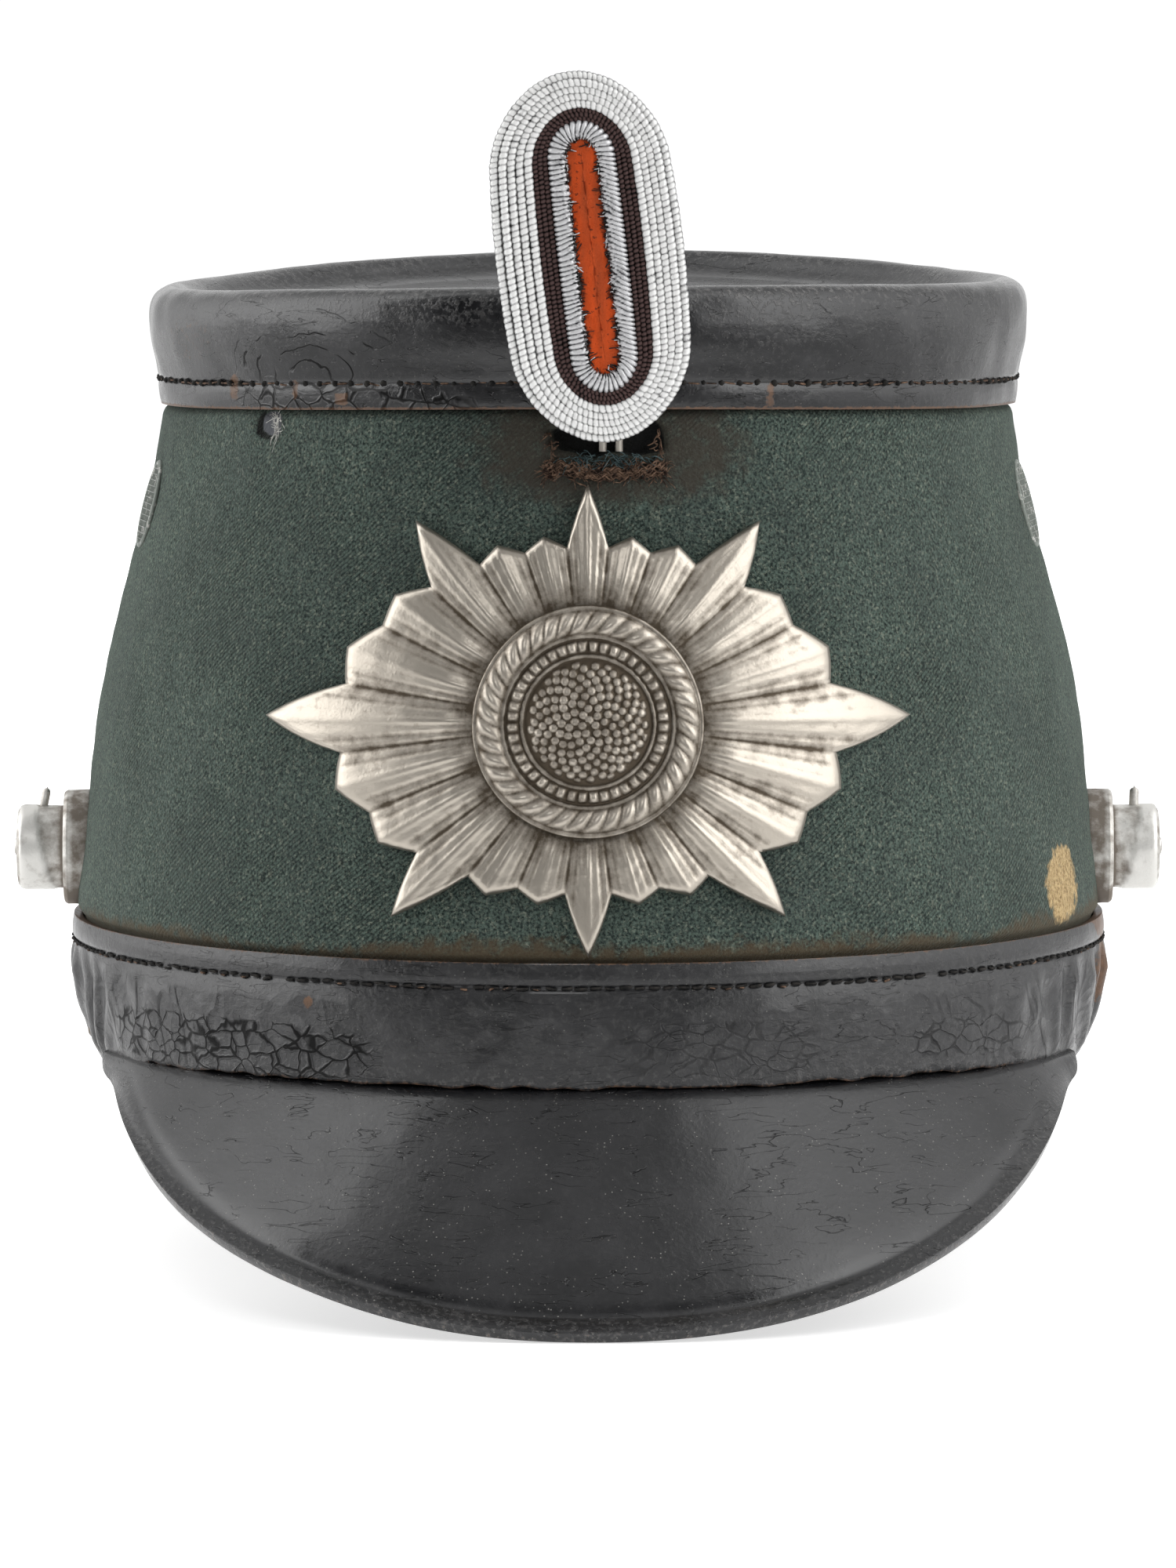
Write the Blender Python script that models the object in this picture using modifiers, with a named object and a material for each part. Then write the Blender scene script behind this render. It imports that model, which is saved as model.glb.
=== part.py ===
"""A shako: a stiff cloth-covered cap with a leather crown, a leather base band, a front and a rear peak,
a cord cockade in its pocket, a rayed front plate, two strap posts and two side vents.

Lengths are metres. +Z is up, the front faces -Y, and the floor that the peaks stand on is at z = 0.
A turn is the angle round the cap from the middle of the front, towards +X.
"""

import math

import bmesh
import bpy
import numpy as np
from mathutils import Matrix, Vector

MM = 0.001

# The two ovals of the cap, measured over the cloth
BASE_HALF_WIDTH = 86.1 * MM
BASE_FRONT = 104.5 * MM
BASE_REAR = 104.5 * MM
CROWN_HALF_WIDTH = 71.6 * MM
CROWN_FRONT = 91.0 * MM
CROWN_REAR = 79.0 * MM

# Heights, from the floor upwards
HEM_HEIGHT = 36.5 * MM
BAND_HEIGHT = 20.0 * MM
CLOTH_HEIGHT = 85.0 * MM
CROWN_HEIGHT = 20.0 * MM
CROWN_RISE = 2.2 * MM
REAR_EXTRA_RISE = 1.5 * MM
RECESS_DEPTH = 4.4 * MM

# Walls and clearances
BODY_WALL = 3.0 * MM
CROWN_WALL = 1.6 * MM
BAND_WALL = 1.6 * MM
PEAK_WALL = 1.8 * MM
CLEARANCE = 0.3 * MM
FLANGE_CLEARANCE = 0.5 * MM
SKIRT_STEP = 0.7 * MM
BAND_STEP = 0.7 * MM
FLANGE_HEIGHT = 9.0 * MM
CROWN_TUCK = 12.0 * MM

# Front and rear peak: half the angle they span, their reach from the hem and the drop of their corners
FRONT_SPAN = math.radians(64.4)
FRONT_REACH = 37.0 * MM
FRONT_CORNER_DROP = 11.5 * MM
REAR_SPAN = math.radians(58.0)
REAR_REACH = 23.0 * MM
REAR_CORNER_DROP = 9.0 * MM
CORNER_REACH = 2.2 * MM

# Strap posts
POST_HEIGHT = 67.5 * MM
PLATE_RADIUS = 9.6 * MM
PLATE_THICK = 2.9 * MM
PLATE_RIM = 1.2 * MM
PLATE_DISH = 0.5 * MM
POST_RADIUS = 7.0 * MM
POST_LENGTH = 7.9 * MM
POST_EDGE = 1.4 * MM
RIVET_RADIUS = 1.5 * MM
RIVET_HEIGHT = 0.6 * MM
PIN_RADIUS = 0.9 * MM
PIN_LENGTH = 2.9 * MM
PIN_FROM_END = 4.1 * MM

# Side vents
VENT_HEIGHT = 125.5 * MM
VENT_TURN = math.radians(80.0)
VENT_RADIUS = 7.5 * MM
VENT_RIM = 1.5 * MM
VENT_GAUZE = 0.7 * MM

# Cockade: an upright oval, with its rings from the edge inwards
COCKADE_LENGTH = 59.0 * MM
COCKADE_WIDTH = 29.5 * MM
COCKADE_LEAN = math.radians(6.5)
COCKADE_FOOT_X = 3.7 * MM
COCKADE_FOOT_HEIGHT = 139.5 * MM
CORE_THICK = 3.0 * MM
CORE_INSET = 0.3 * MM
CLIP_THICK = 1.0 * MM
CLIP_INSET = 2.0 * MM
PALE_WIDTH = 6.8 * MM
PALE_THICK = 1.4 * MM
DARK_WIDTH = 2.2 * MM
DARK_THICK = 1.1 * MM
COIL_WIDTH = 3.4 * MM
COIL_THICK = 2.2 * MM
PAD_THICK = 1.3 * MM
WIRE_RADIUS = 0.6 * MM
WIRE_SPACING = 2.6 * MM
WIRE_HOLD = 9.0 * MM

# Cockade pocket: a shallow recess in the cloth that takes the clip's wires
POCKET_WIDTH = 18.0 * MM
POCKET_FLOOR = 135.0 * MM
POCKET_TOP = 140.2 * MM
POCKET_DEPTH = 1.9 * MM

# Front plate: an oval star of rays, and a domed boss on its middle
STAR_HEIGHT = 94.0 * MM
STAR_HALF_WIDTH = 57.0 * MM
STAR_HALF_HEIGHT = 36.5 * MM
STAR_POINTS = 8
RAYS_PER_POINT = 3
RAY_STEP = 0.21
RAY_NOTCH = 0.93
STAR_WALL = 1.0 * MM
STAR_RELIEF = 1.2 * MM
STAR_STANDOFF = 1.0 * MM
BOSS_RADIUS = 18.0 * MM
BOSS_RISE = 3.4 * MM
BOSS_SIDES = 24

# Where the oval's centre lies, so that the origin is under the middle of the whole shako
FRONT_TIP = BASE_FRONT + FRONT_REACH
REAR_TIP = BASE_REAR + REAR_REACH
OVAL_Y = (FRONT_TIP - REAR_TIP) / 2

BAND_TOP = HEM_HEIGHT + BAND_HEIGHT
CROWN_SEAM = BAND_TOP + CLOTH_HEIGHT
CROWN_TOP = CROWN_SEAM + CROWN_HEIGHT

SEGMENTS = 48
PEAK_COLUMNS = 24
OVAL_SIDES = 32

# fall: share of the cloth height below the crown seam; flare: share of the way to the base oval
CLOTH_PROFILE = (
    (0.00, 0.00),
    (0.10, 0.08),
    (0.22, 0.25),
    (0.35, 0.44),
    (0.50, 0.655),
    (0.65, 0.80),
    (0.82, 0.89),
    (1.00, 1.00),
)

# height: share of the crown's height; out: shares of the skirt step beyond the cloth
CROWN_SKIRT = (
    (0.00, 1.0),
    (0.22, 1.4),
    (0.52, 3.0),
    (0.74, 3.5),
    (0.92, 1.9),
)

# inset: share of the rim's width inwards; sink: share of the recess depth below the rim's top
CROWN_RIM = (
    (0.00, 0.00),
    (0.32, 0.16),
    (0.66, 0.75),
    (1.00, 1.00),
)
RIM_TOP_INSET = 1.6 * MM
RIM_WIDTH = 8.0 * MM
DISC_SHARES = (0.66, 0.30)

# height: share of the band's height; out: shares of the band step beyond the cloth
BAND_PROFILE = (
    (0.00, 0.57),
    (0.16, 1.25),
    (0.50, 1.60),
    (0.80, 1.20),
    (1.00, 1.00),
)

# reach and drop: shares of the peak's own reach and drop, from the hem to the lip
PEAK_PROFILE = (
    (0.00, 0.000),
    (0.15, 0.130),
    (0.35, 0.330),
    (0.56, 0.560),
    (0.75, 0.780),
    (0.86, 0.905),
    (1.00, 1.000),
)

# How a peak shrinks towards its corners: flatness of its middle, then powers for its reach and its drop
FRONT_SHAPE = (2.0, 1.5, 2.2)
REAR_SHAPE = (4.0, 1.2, 1.0)

# radius: share of the vent's radius; rise: share of its rim's height; run down the outer side
VENT_PROFILE = (
    (0.76, 0.80),
    (0.86, 1.00),
    (0.96, 0.85),
    (1.00, 0.30),
    (0.98, 0.00),
)

# radius: share of the boss's radius; rise: share of its height above its own back
BOSS_PROFILE = (
    (0.30, 0.96),
    (0.54, 0.80),
    (0.68, 0.44),
    (0.74, 0.40),
    (0.82, 0.74),
    (0.90, 0.74),
    (1.00, 0.30),
)

# What lies under the leather: the cloth body is drawn in by the walls that cover it
CROWN_BULGE = max(out for _, out in CROWN_SKIRT) * SKIRT_STEP
UNDER_CROWN = CROWN_SKIRT[0][1] * SKIRT_STEP - CROWN_WALL - CLEARANCE
UNDER_BAND = min(out for _, out in BAND_PROFILE) * BAND_STEP - BAND_WALL - CLEARANCE
FLANGE_OUT = UNDER_BAND + CLEARANCE - FLANGE_CLEARANCE
UNDER_FLANGE = FLANGE_OUT - PEAK_WALL - FLANGE_CLEARANCE


def clear_scene():
    """Removes whatever the file holds before the model is made."""
    for old in list(bpy.data.objects):
        bpy.data.objects.remove(old)


def make_collection(name):
    """A new collection linked to the scene."""
    made = bpy.data.collections.new(name)
    bpy.context.scene.collection.children.link(made)
    return made


def make_material(name, colour, roughness, metallic=0.0):
    """A Principled material with the part's colour, roughness and metallic value."""
    made = bpy.data.materials.new(name)
    made.use_nodes = True
    shader = made.node_tree.nodes["Principled BSDF"]
    shader.inputs["Base Color"].default_value = (*colour, 1.0)
    shader.inputs["Roughness"].default_value = roughness
    shader.inputs["Metallic"].default_value = metallic
    return made


def add_object(name, bm, material, collection):
    """Turns a bmesh into a named object with its material, shaded smooth up to 40 degrees."""
    mesh = bpy.data.meshes.new(name)
    bm.to_mesh(mesh)
    bm.free()
    mesh.materials.append(material)
    mesh.shade_smooth()
    mesh.set_sharp_from_angle(angle=math.radians(40))
    made = bpy.data.objects.new(name, mesh)
    collection.objects.link(made)
    return made


def solidify(piece, thickness):
    """Gives an open surface its wall, inwards from the modelled face."""
    wall = piece.modifiers.new("Wall", "SOLIDIFY")
    wall.thickness = thickness
    wall.offset = -1.0
    return wall


def combine(piece, other, operation):
    """Joins other to piece, or cuts it out, with an exact Boolean."""
    joint = piece.modifiers.new(operation.title(), "BOOLEAN")
    joint.operation = operation
    joint.object = other
    joint.solver = "EXACT"


def as_cutter(piece):
    """Marks an object as one that only shapes another."""
    piece.hide_render = True
    piece.display_type = "WIRE"


def section(height):
    """The cloth's oval at a height: half width, front reach and rear reach."""
    fall = min(max((CROWN_SEAM - height) / CLOTH_HEIGHT, 0.0), 1.0)
    falls, flares = zip(*CLOTH_PROFILE)
    flare = float(np.interp(fall, falls, flares))
    half_width = CROWN_HALF_WIDTH + flare * (BASE_HALF_WIDTH - CROWN_HALF_WIDTH)
    front = CROWN_FRONT + flare * (BASE_FRONT - CROWN_FRONT)
    rear = CROWN_REAR + flare * (BASE_REAR - CROWN_REAR)
    return half_width, front, rear


def rise(turn, height):
    """How far the front and rear stand above the sides, which grows from the band to the crown."""
    share = min(max((height - BAND_TOP) / CLOTH_HEIGHT, 0.0), 1.0)
    rear_share = max(-math.cos(turn), 0.0)
    lift = CROWN_RISE + REAR_EXTRA_RISE * rear_share
    return share * lift * math.cos(turn) ** 2


def hat_point(turn, height, out=0.0, shrink=1.0):
    """A point of the cloth's face, moved out by a distance; shrink draws it towards the middle."""
    half_width, front, rear = section(height)
    reach = front if math.cos(turn) > 0 else rear
    x = (half_width + out) * math.sin(turn) * shrink
    y = OVAL_Y - (reach + out) * math.cos(turn) * shrink
    return Vector((x, y, height + rise(turn, height) * shrink))


def hat_ring(height, out=0.0, shrink=1.0):
    """One closed ring of points round the cap."""
    return [hat_point(2 * math.pi * i / SEGMENTS, height, out, shrink) for i in range(SEGMENTS)]


def face_frame(turn, height, out, level=False):
    """A frame on the cloth: X runs along it, Y up it and Z straight out, or level where that is asked for."""
    step = 0.5 * MM
    angle = step / BASE_HALF_WIDTH
    here = hat_point(turn, height)
    along = (hat_point(turn + angle, height) - hat_point(turn - angle, height)).normalized()
    up = (hat_point(turn, height + step) - hat_point(turn, height - step)).normalized()
    if level:
        along = Vector((along.x, along.y, 0.0)).normalized()
        up = Vector((0.0, 0.0, 1.0))
    outward = along.cross(up).normalized()
    frame = Matrix((along, outward.cross(along), outward)).transposed().to_4x4()
    frame.translation = here + outward * out
    return frame


def loft(bm, rings, closed=True):
    """Skins rings of equal length, from the lowest to the highest, with faces that point outwards."""
    rows = [[bm.verts.new(point) for point in ring] for ring in rings]
    count = len(rows[0])
    last = count if closed else count - 1
    for lower, upper in zip(rows, rows[1:]):
        for i in range(last):
            j = (i + 1) % count
            bm.faces.new((lower[i], lower[j], upper[j], upper[i]))
    return rows


def close_with_fan(bm, ring, centre):
    """Closes a ring with triangles to one middle point, facing the way the ring turns."""
    middle = bm.verts.new(centre)
    for i, vertex in enumerate(ring):
        bm.faces.new((vertex, ring[(i + 1) % len(ring)], middle))


def ease(share):
    """A smooth step from 0 to 1."""
    share = min(max(share, 0.0), 1.0)
    return share * share * (3 - 2 * share)


def flange_share(turn):
    """1 where a peak's flange lies under the band, 0 between the peaks, with an eased border."""
    border = math.radians(6.0)
    turn = abs((turn + math.pi) % (2 * math.pi) - math.pi)
    front = ease((FRONT_SPAN + border - turn) / border + 0.5)
    rear = ease((turn - (math.pi - REAR_SPAN) + border) / border + 0.5)
    return max(front, rear)


def body_ring(height, draw_in=0.0):
    """A ring of the body behind the band, drawn in where a flange lies against it."""
    turns = [2 * math.pi * i / SEGMENTS for i in range(SEGMENTS)]
    return [hat_point(t, height, UNDER_BAND - draw_in * flange_share(t)) for t in turns]


def build_body(collection, cutters, material):
    """The stiff body under its cloth: one wall from the hem up into the crown, with the pocket's recess."""
    draw_in = UNDER_BAND - UNDER_FLANGE
    flange_top = HEM_HEIGHT + FLANGE_HEIGHT + FLANGE_CLEARANCE
    rings = [
        body_ring(HEM_HEIGHT, draw_in),
        body_ring(flange_top, draw_in),
        body_ring(flange_top + draw_in),
        body_ring(BAND_TOP + CLEARANCE),
        hat_ring(BAND_TOP + CLEARANCE),
    ]
    for fall, _ in reversed(CLOTH_PROFILE[1:-1]):
        rings.append(hat_ring(CROWN_SEAM - fall * CLOTH_HEIGHT))
    rings.append(hat_ring(CROWN_SEAM - CLEARANCE))
    rings.append(hat_ring(CROWN_SEAM - CLEARANCE, UNDER_CROWN))
    rings.append(hat_ring(CROWN_SEAM + CROWN_TUCK, UNDER_CROWN))
    bm = bmesh.new()
    loft(bm, rings)
    body = add_object("body", bm, material, collection)
    solidify(body, BODY_WALL)
    combine(body, pocket_cutter(cutters, material), "DIFFERENCE")
    return body


def pocket_back():
    """How far forward the back of the cockade's pocket lies."""
    return hat_point(0.0, POCKET_FLOOR).y + POCKET_DEPTH


def pocket_cutter(cutters, material):
    """A box that leaves the recess for the cockade's wires."""
    depth = 4 * POCKET_DEPTH
    height = POCKET_TOP - POCKET_FLOOR
    middle = Vector((COCKADE_FOOT_X, pocket_back() - depth / 2, POCKET_FLOOR + CROWN_RISE + height / 2))
    size = Matrix.Diagonal((POCKET_WIDTH, depth, height, 1.0))
    bm = bmesh.new()
    bmesh.ops.create_cube(bm, size=1.0, matrix=Matrix.Translation(middle) @ size)
    cutter = add_object("pocket_cutter", bm, material, cutters)
    as_cutter(cutter)
    return cutter


def cloth_cutter(cutters, material):
    """A solid of the cloth's own facets with the clearance added, which shapes what is fixed to the cloth."""
    rings = [hat_ring(CROWN_SEAM - fall * CLOTH_HEIGHT, CLEARANCE) for fall, _ in reversed(CLOTH_PROFILE)]
    bm = bmesh.new()
    rows = loft(bm, rings)
    close_with_fan(bm, rows[-1], Vector((0.0, OVAL_Y, CROWN_SEAM)))
    close_with_fan(bm, rows[0][::-1], Vector((0.0, OVAL_Y, BAND_TOP)))
    cutter = add_object("cloth_cutter", bm, material, cutters)
    as_cutter(cutter)
    return cutter


def build_crown(collection, material):
    """The moulded leather crown: a skirt over the cloth's edge, a rolled rim and a sunk top."""
    rings = []
    for height, out in CROWN_SKIRT:
        rings.append(hat_ring(CROWN_SEAM + height * CROWN_HEIGHT, out * SKIRT_STEP))
    for inset, sink in CROWN_RIM:
        out = SKIRT_STEP - RIM_TOP_INSET - inset * RIM_WIDTH
        rings.append(hat_ring(CROWN_TOP - sink * RECESS_DEPTH, out))
    out = SKIRT_STEP - RIM_TOP_INSET - RIM_WIDTH
    for share in DISC_SHARES:
        rings.append(hat_ring(CROWN_TOP - RECESS_DEPTH, out, share))
    bm = bmesh.new()
    rows = loft(bm, rings)
    close_with_fan(bm, rows[-1], Vector((0.0, OVAL_Y, CROWN_TOP - RECESS_DEPTH)))
    crown = add_object("crown", bm, material, collection)
    solidify(crown, CROWN_WALL)
    return crown


def build_band(collection, material):
    """The leather band round the base, which covers the hem and the flanges of both peaks."""
    rings = []
    for height, out in BAND_PROFILE:
        rings.append(hat_ring(HEM_HEIGHT + height * BAND_HEIGHT, out * BAND_STEP))
    bm = bmesh.new()
    loft(bm, rings)
    band = add_object("base_band", bm, material, collection)
    solidify(band, BAND_WALL)
    return band


def peak_shares(share, flatness, power):
    """How much of its full size a peak has at a share of its half span: 1 in the middle, 0 at its end."""
    return max(1.0 - abs(share) ** flatness, 0.0) ** power


def lip_lift(reach, drop):
    """The height of the lip's upper edge when the lower edge of the wall just meets the floor."""
    (reach_a, drop_a), (reach_b, drop_b) = PEAK_PROFILE[-2:]
    run = (reach_b - reach_a) * reach
    fall = (drop_b - drop_a) * drop
    return PEAK_WALL * run / math.hypot(run, fall)


def build_peak(name, middle, span, reach, corner_drop, shape, collection, material):
    """A peak: a flange behind the band, then a brim that falls and reaches outwards to its lip."""
    flatness, reach_power, drop_power = shape
    full_drop = HEM_HEIGHT - lip_lift(reach, HEM_HEIGHT)
    shares = [2.0 * i / PEAK_COLUMNS - 1.0 for i in range(PEAK_COLUMNS + 1)]

    def brim_point(share, reach_share, drop_share):
        own_reach = CORNER_REACH + (reach - CORNER_REACH) * peak_shares(share, flatness, reach_power)
        own_drop = corner_drop + (full_drop - corner_drop) * peak_shares(share, flatness, drop_power)
        out = FLANGE_OUT + own_reach * reach_share
        return hat_point(middle + share * span, HEM_HEIGHT, out) - Vector((0.0, 0.0, own_drop * drop_share))

    rings = [[brim_point(share, *row) for share in shares] for row in reversed(PEAK_PROFILE)]
    flange_top = HEM_HEIGHT + FLANGE_HEIGHT
    rings.append([hat_point(middle + share * span, flange_top, FLANGE_OUT) for share in shares])
    bm = bmesh.new()
    loft(bm, rings, closed=False)
    peak = add_object(name, bm, material, collection)
    solidify(peak, PEAK_WALL)
    return peak


def turned(name, outline, steps, matrix, collection, material):
    """A turned piece: an outline of (radius, height) from the top of its axis down its outer side."""
    bm = bmesh.new()
    points = [bm.verts.new((radius, 0.0, height)) for radius, height in outline]
    for a, b in zip(points, points[1:]):
        bm.edges.new((a, b))
    made = add_object(name, bm, material, collection)
    turning = made.modifiers.new("Turn", "SCREW")
    turning.axis = "Z"
    turning.steps = steps
    turning.render_steps = steps
    turning.use_merge_vertices = True
    turning.merge_threshold = 0.00001
    made.matrix_world = matrix
    return made


def build_post(name, turn, cutter, collection, cutters, material):
    """A strap post: a dished round plate on the cloth, a level post with a riveted end, and a pin."""
    frame = face_frame(turn, POST_HEIGHT, CLEARANCE, level=True)
    end = PLATE_THICK + POST_LENGTH
    outline = (
        (0.0, end + RIVET_HEIGHT),
        (RIVET_RADIUS * 0.7, end + RIVET_HEIGHT * 0.8),
        (RIVET_RADIUS, end),
        (POST_RADIUS - POST_EDGE, end),
        (POST_RADIUS - POST_EDGE * 0.3, end - POST_EDGE * 0.3),
        (POST_RADIUS, end - POST_EDGE),
        (POST_RADIUS, PLATE_THICK - PLATE_DISH),
        (PLATE_RADIUS - PLATE_RIM, PLATE_THICK - PLATE_DISH),
        (PLATE_RADIUS - PLATE_RIM * 0.6, PLATE_THICK),
        (PLATE_RADIUS - PLATE_RIM * 0.2, PLATE_THICK),
        (PLATE_RADIUS, PLATE_THICK - PLATE_RIM * 0.4),
        (PLATE_RADIUS, -PLATE_THICK),
        (0.0, -PLATE_THICK),
    )
    post = turned(name, outline, 20, frame, collection, material)
    combine(post, cutter, "DIFFERENCE")

    length = POST_RADIUS + PIN_LENGTH
    foot = frame @ Matrix.Translation((0.0, length / 2, end - PIN_FROM_END))
    bm = bmesh.new()
    bmesh.ops.create_cone(
        bm, cap_ends=True, segments=8, radius1=PIN_RADIUS, radius2=PIN_RADIUS, depth=length,
        matrix=Matrix.Rotation(math.pi / 2, 4, "X"),
    )
    pin = add_object(name + "_pin", bm, material, cutters)
    pin.matrix_world = foot
    as_cutter(pin)
    combine(post, pin, "UNION")
    return post


def build_vent(name, turn, collection, material):
    """A vent: a turned rim round a sunk gauze disc, set on the cloth."""
    outline = [(0.0, VENT_GAUZE), (VENT_RADIUS * 0.72, VENT_GAUZE)]
    outline += [(radius * VENT_RADIUS, rise_share * VENT_RIM) for radius, rise_share in VENT_PROFILE]
    outline.append((0.0, 0.0))
    return turned(name, outline, 20, face_frame(turn, VENT_HEIGHT, CLEARANCE), collection, material)


def cockade_frame():
    """The cockade's own frame: its middle, just clear of the crown's front, leaning to one side."""
    front = hat_point(0.0, CROWN_SEAM).y - CROWN_BULGE - CLEARANCE
    foot = Matrix.Translation((COCKADE_FOOT_X, front, COCKADE_FOOT_HEIGHT))
    lean = Matrix.Rotation(-COCKADE_LEAN, 4, "Y")
    return foot @ lean @ Matrix.Translation((0.0, 0.0, COCKADE_LENGTH / 2))


def oval_ring(inset, forward):
    """A ring of the cockade: an upright oval drawn in from its edge, forward of its back."""
    radius = COCKADE_WIDTH / 2 - inset
    straight = (COCKADE_LENGTH - COCKADE_WIDTH) / 2
    half = OVAL_SIDES // 2
    ring = []
    for end in (-1, 1):
        for i in range(half):
            angle = math.pi * i / (half - 1) - math.pi / 2
            x = -end * radius * math.sin(angle)
            z = end * (straight + radius * math.cos(angle))
            ring.append(Vector((x, -forward, z)))
    return ring


def cockade_piece(name, rings, middle, collection, material):
    """A closed piece of the cockade from its rings: fanned over a middle, or joined end to end."""
    bm = bmesh.new()
    rows = loft(bm, [oval_ring(*row) for row in rings])
    if middle is None:
        bmesh.ops.bridge_loops(bm, edges=[e for e in bm.edges if e.is_boundary])
    else:
        close_with_fan(bm, rows[0], Vector((0.0, -middle[0], 0.0)))
        close_with_fan(bm, rows[-1], Vector((0.0, -middle[1], 0.0)))
    bmesh.ops.recalc_face_normals(bm, faces=bm.faces)
    piece = add_object(name, bm, material, collection)
    piece.matrix_world = cockade_frame()
    return piece


def cockade_plate(name, inset, back, thick, collection, material):
    """A flat oval plate with a rounded front edge."""
    front = back + thick
    edge = thick * 0.3
    rings = ((inset, back), (inset, front - edge), (inset + edge, front))
    return cockade_piece(name, rings, (back, front), collection, material)


def cockade_ring(name, inset, width, back, thick, collection, material):
    """A rounded oval ring, flat at its back."""
    rings = (
        (inset, back),
        (inset, back + thick * 0.55),
        (inset + width * 0.22, back + thick),
        (inset + width * 0.78, back + thick),
        (inset + width, back + thick * 0.55),
        (inset + width, back),
    )
    return cockade_piece(name, rings, None, collection, material)


def build_wire(name, x, cutters, material):
    """One leg of the cockade's clip: fixed to the clip's plate, then cranked back into the pocket."""
    plate_y = cockade_frame().translation.y - CLIP_THICK / 2
    pocket_y = pocket_back() - CLEARANCE - WIRE_RADIUS
    route = (
        (plate_y, COCKADE_FOOT_HEIGHT + WIRE_HOLD),
        (plate_y, COCKADE_FOOT_HEIGHT + 2 * CLIP_THICK),
        (pocket_y, POCKET_TOP + CROWN_RISE - CLIP_THICK),
        (pocket_y, POCKET_FLOOR + CROWN_RISE + CLEARANCE),
    )
    curve = bpy.data.curves.new(name, "CURVE")
    curve.dimensions = "3D"
    curve.bevel_depth = WIRE_RADIUS
    curve.bevel_resolution = 2
    curve.use_fill_caps = True
    spline = curve.splines.new("POLY")
    spline.points.add(len(route) - 1)
    for point, (y, z) in zip(spline.points, route):
        point.co = (x, y, z, 1.0)
    guide = bpy.data.objects.new(name + "_guide", curve)
    cutters.objects.link(guide)
    bpy.context.view_layer.update()
    bm = bmesh.new()
    bm.from_mesh(guide.evaluated_get(bpy.context.evaluated_depsgraph_get()).to_mesh())
    bpy.data.objects.remove(guide)
    bmesh.ops.remove_doubles(bm, verts=bm.verts, dist=0.001 * MM)
    bmesh.ops.recalc_face_normals(bm, faces=bm.faces)
    wire = add_object(name, bm, material, cutters)
    as_cutter(wire)
    return wire


def build_cockade(collection, cutters, materials):
    """The cockade from back to front: clip, core, pale and dark cords, a coiled ring and a felt pad."""
    clip = cockade_plate("cockade_clip", CLIP_INSET, 0.0, CLIP_THICK, collection, materials["nickel"])
    for side in (-1, 1):
        x = COCKADE_FOOT_X + side * WIRE_SPACING / 2
        combine(clip, build_wire("cockade_wire", x, cutters, materials["nickel"]), "UNION")

    back = CLIP_THICK + CLEARANCE
    cockade_plate("cockade_core", CORE_INSET, back, CORE_THICK, collection, materials["core"])
    seat = back + CORE_THICK + CLEARANCE
    silver = materials["silver"]
    cockade_ring("cockade_pale_cord", 0.0, PALE_WIDTH, seat, PALE_THICK, collection, silver)
    inset = PALE_WIDTH + CLEARANCE
    cockade_ring("cockade_dark_cord", inset, DARK_WIDTH, seat, DARK_THICK, collection, materials["dark"])
    inset += DARK_WIDTH + CLEARANCE
    cockade_ring("cockade_coil", inset, COIL_WIDTH, seat, COIL_THICK, collection, silver)
    inset += COIL_WIDTH + CLEARANCE
    cockade_plate("cockade_pad", inset, seat, PAD_THICK, collection, materials["felt"])


def arc_turn(arc, height):
    """The turn at which the cloth's oval has run a given length from the middle of the front."""
    half_width, front, _ = section(height)
    turns = np.linspace(0.0, math.pi / 2, 91)
    speed = np.hypot(half_width * np.cos(turns), front * np.sin(turns))
    lengths = np.concatenate(([0.0], np.cumsum((speed[1:] + speed[:-1]) / 2 * np.diff(turns))))
    return math.copysign(float(np.interp(abs(arc), lengths, turns)), arc)


def plate_point(radius, angle, out):
    """A point of the front plate: polar on a flat sheet, then bent round the cap and moved out."""
    height = STAR_HEIGHT + radius * math.sin(angle)
    return hat_point(arc_turn(radius * math.cos(angle), height), height, out)


def plate_ring(radius, sides, out):
    """A round ring of the front plate from its top, bent round the cap."""
    return [plate_point(radius, 2 * math.pi * i / sides + math.pi / 2, out) for i in range(sides)]


def bent_piece(name, rings, backs, collection, material):
    """A closed piece bent round the cap, from the middle of its back over its edge to its front."""
    bm = bmesh.new()
    rows = loft(bm, rings)
    close_with_fan(bm, rows[0], plate_point(0.0, 0.0, backs[0]))
    close_with_fan(bm, rows[-1], plate_point(0.0, 0.0, backs[1]))
    bmesh.ops.recalc_face_normals(bm, faces=bm.faces)
    return add_object(name, bm, material, collection)


def ray_length(ray):
    """A ray's share of the star's full reach: 1 at a point of the star, less on the rays beside it."""
    steps = min(ray % RAYS_PER_POINT, -ray % RAYS_PER_POINT)
    return 1.0 - RAY_STEP * steps


def star_ring(share, out, relief=0.0):
    """A ring of the star between its seat and its outline, with every second column on a ray's ridge."""
    rays = STAR_POINTS * RAYS_PER_POINT
    seat = BOSS_RADIUS + STAR_WALL
    ring = []
    for i in range(2 * rays):
        angle = math.pi * i / rays + math.pi / 2
        oval = 1.0 / math.hypot(math.cos(angle) / STAR_HALF_WIDTH, math.sin(angle) / STAR_HALF_HEIGHT)
        ridge = i % 2 == 0
        length = ray_length(i // 2) if ridge else min(ray_length(i // 2), ray_length(i // 2 + 1)) * RAY_NOTCH
        radius = seat + (oval * length - seat) * share
        ring.append(plate_point(radius, angle, out + (relief if ridge else 0.0)))
    return ring


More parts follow.
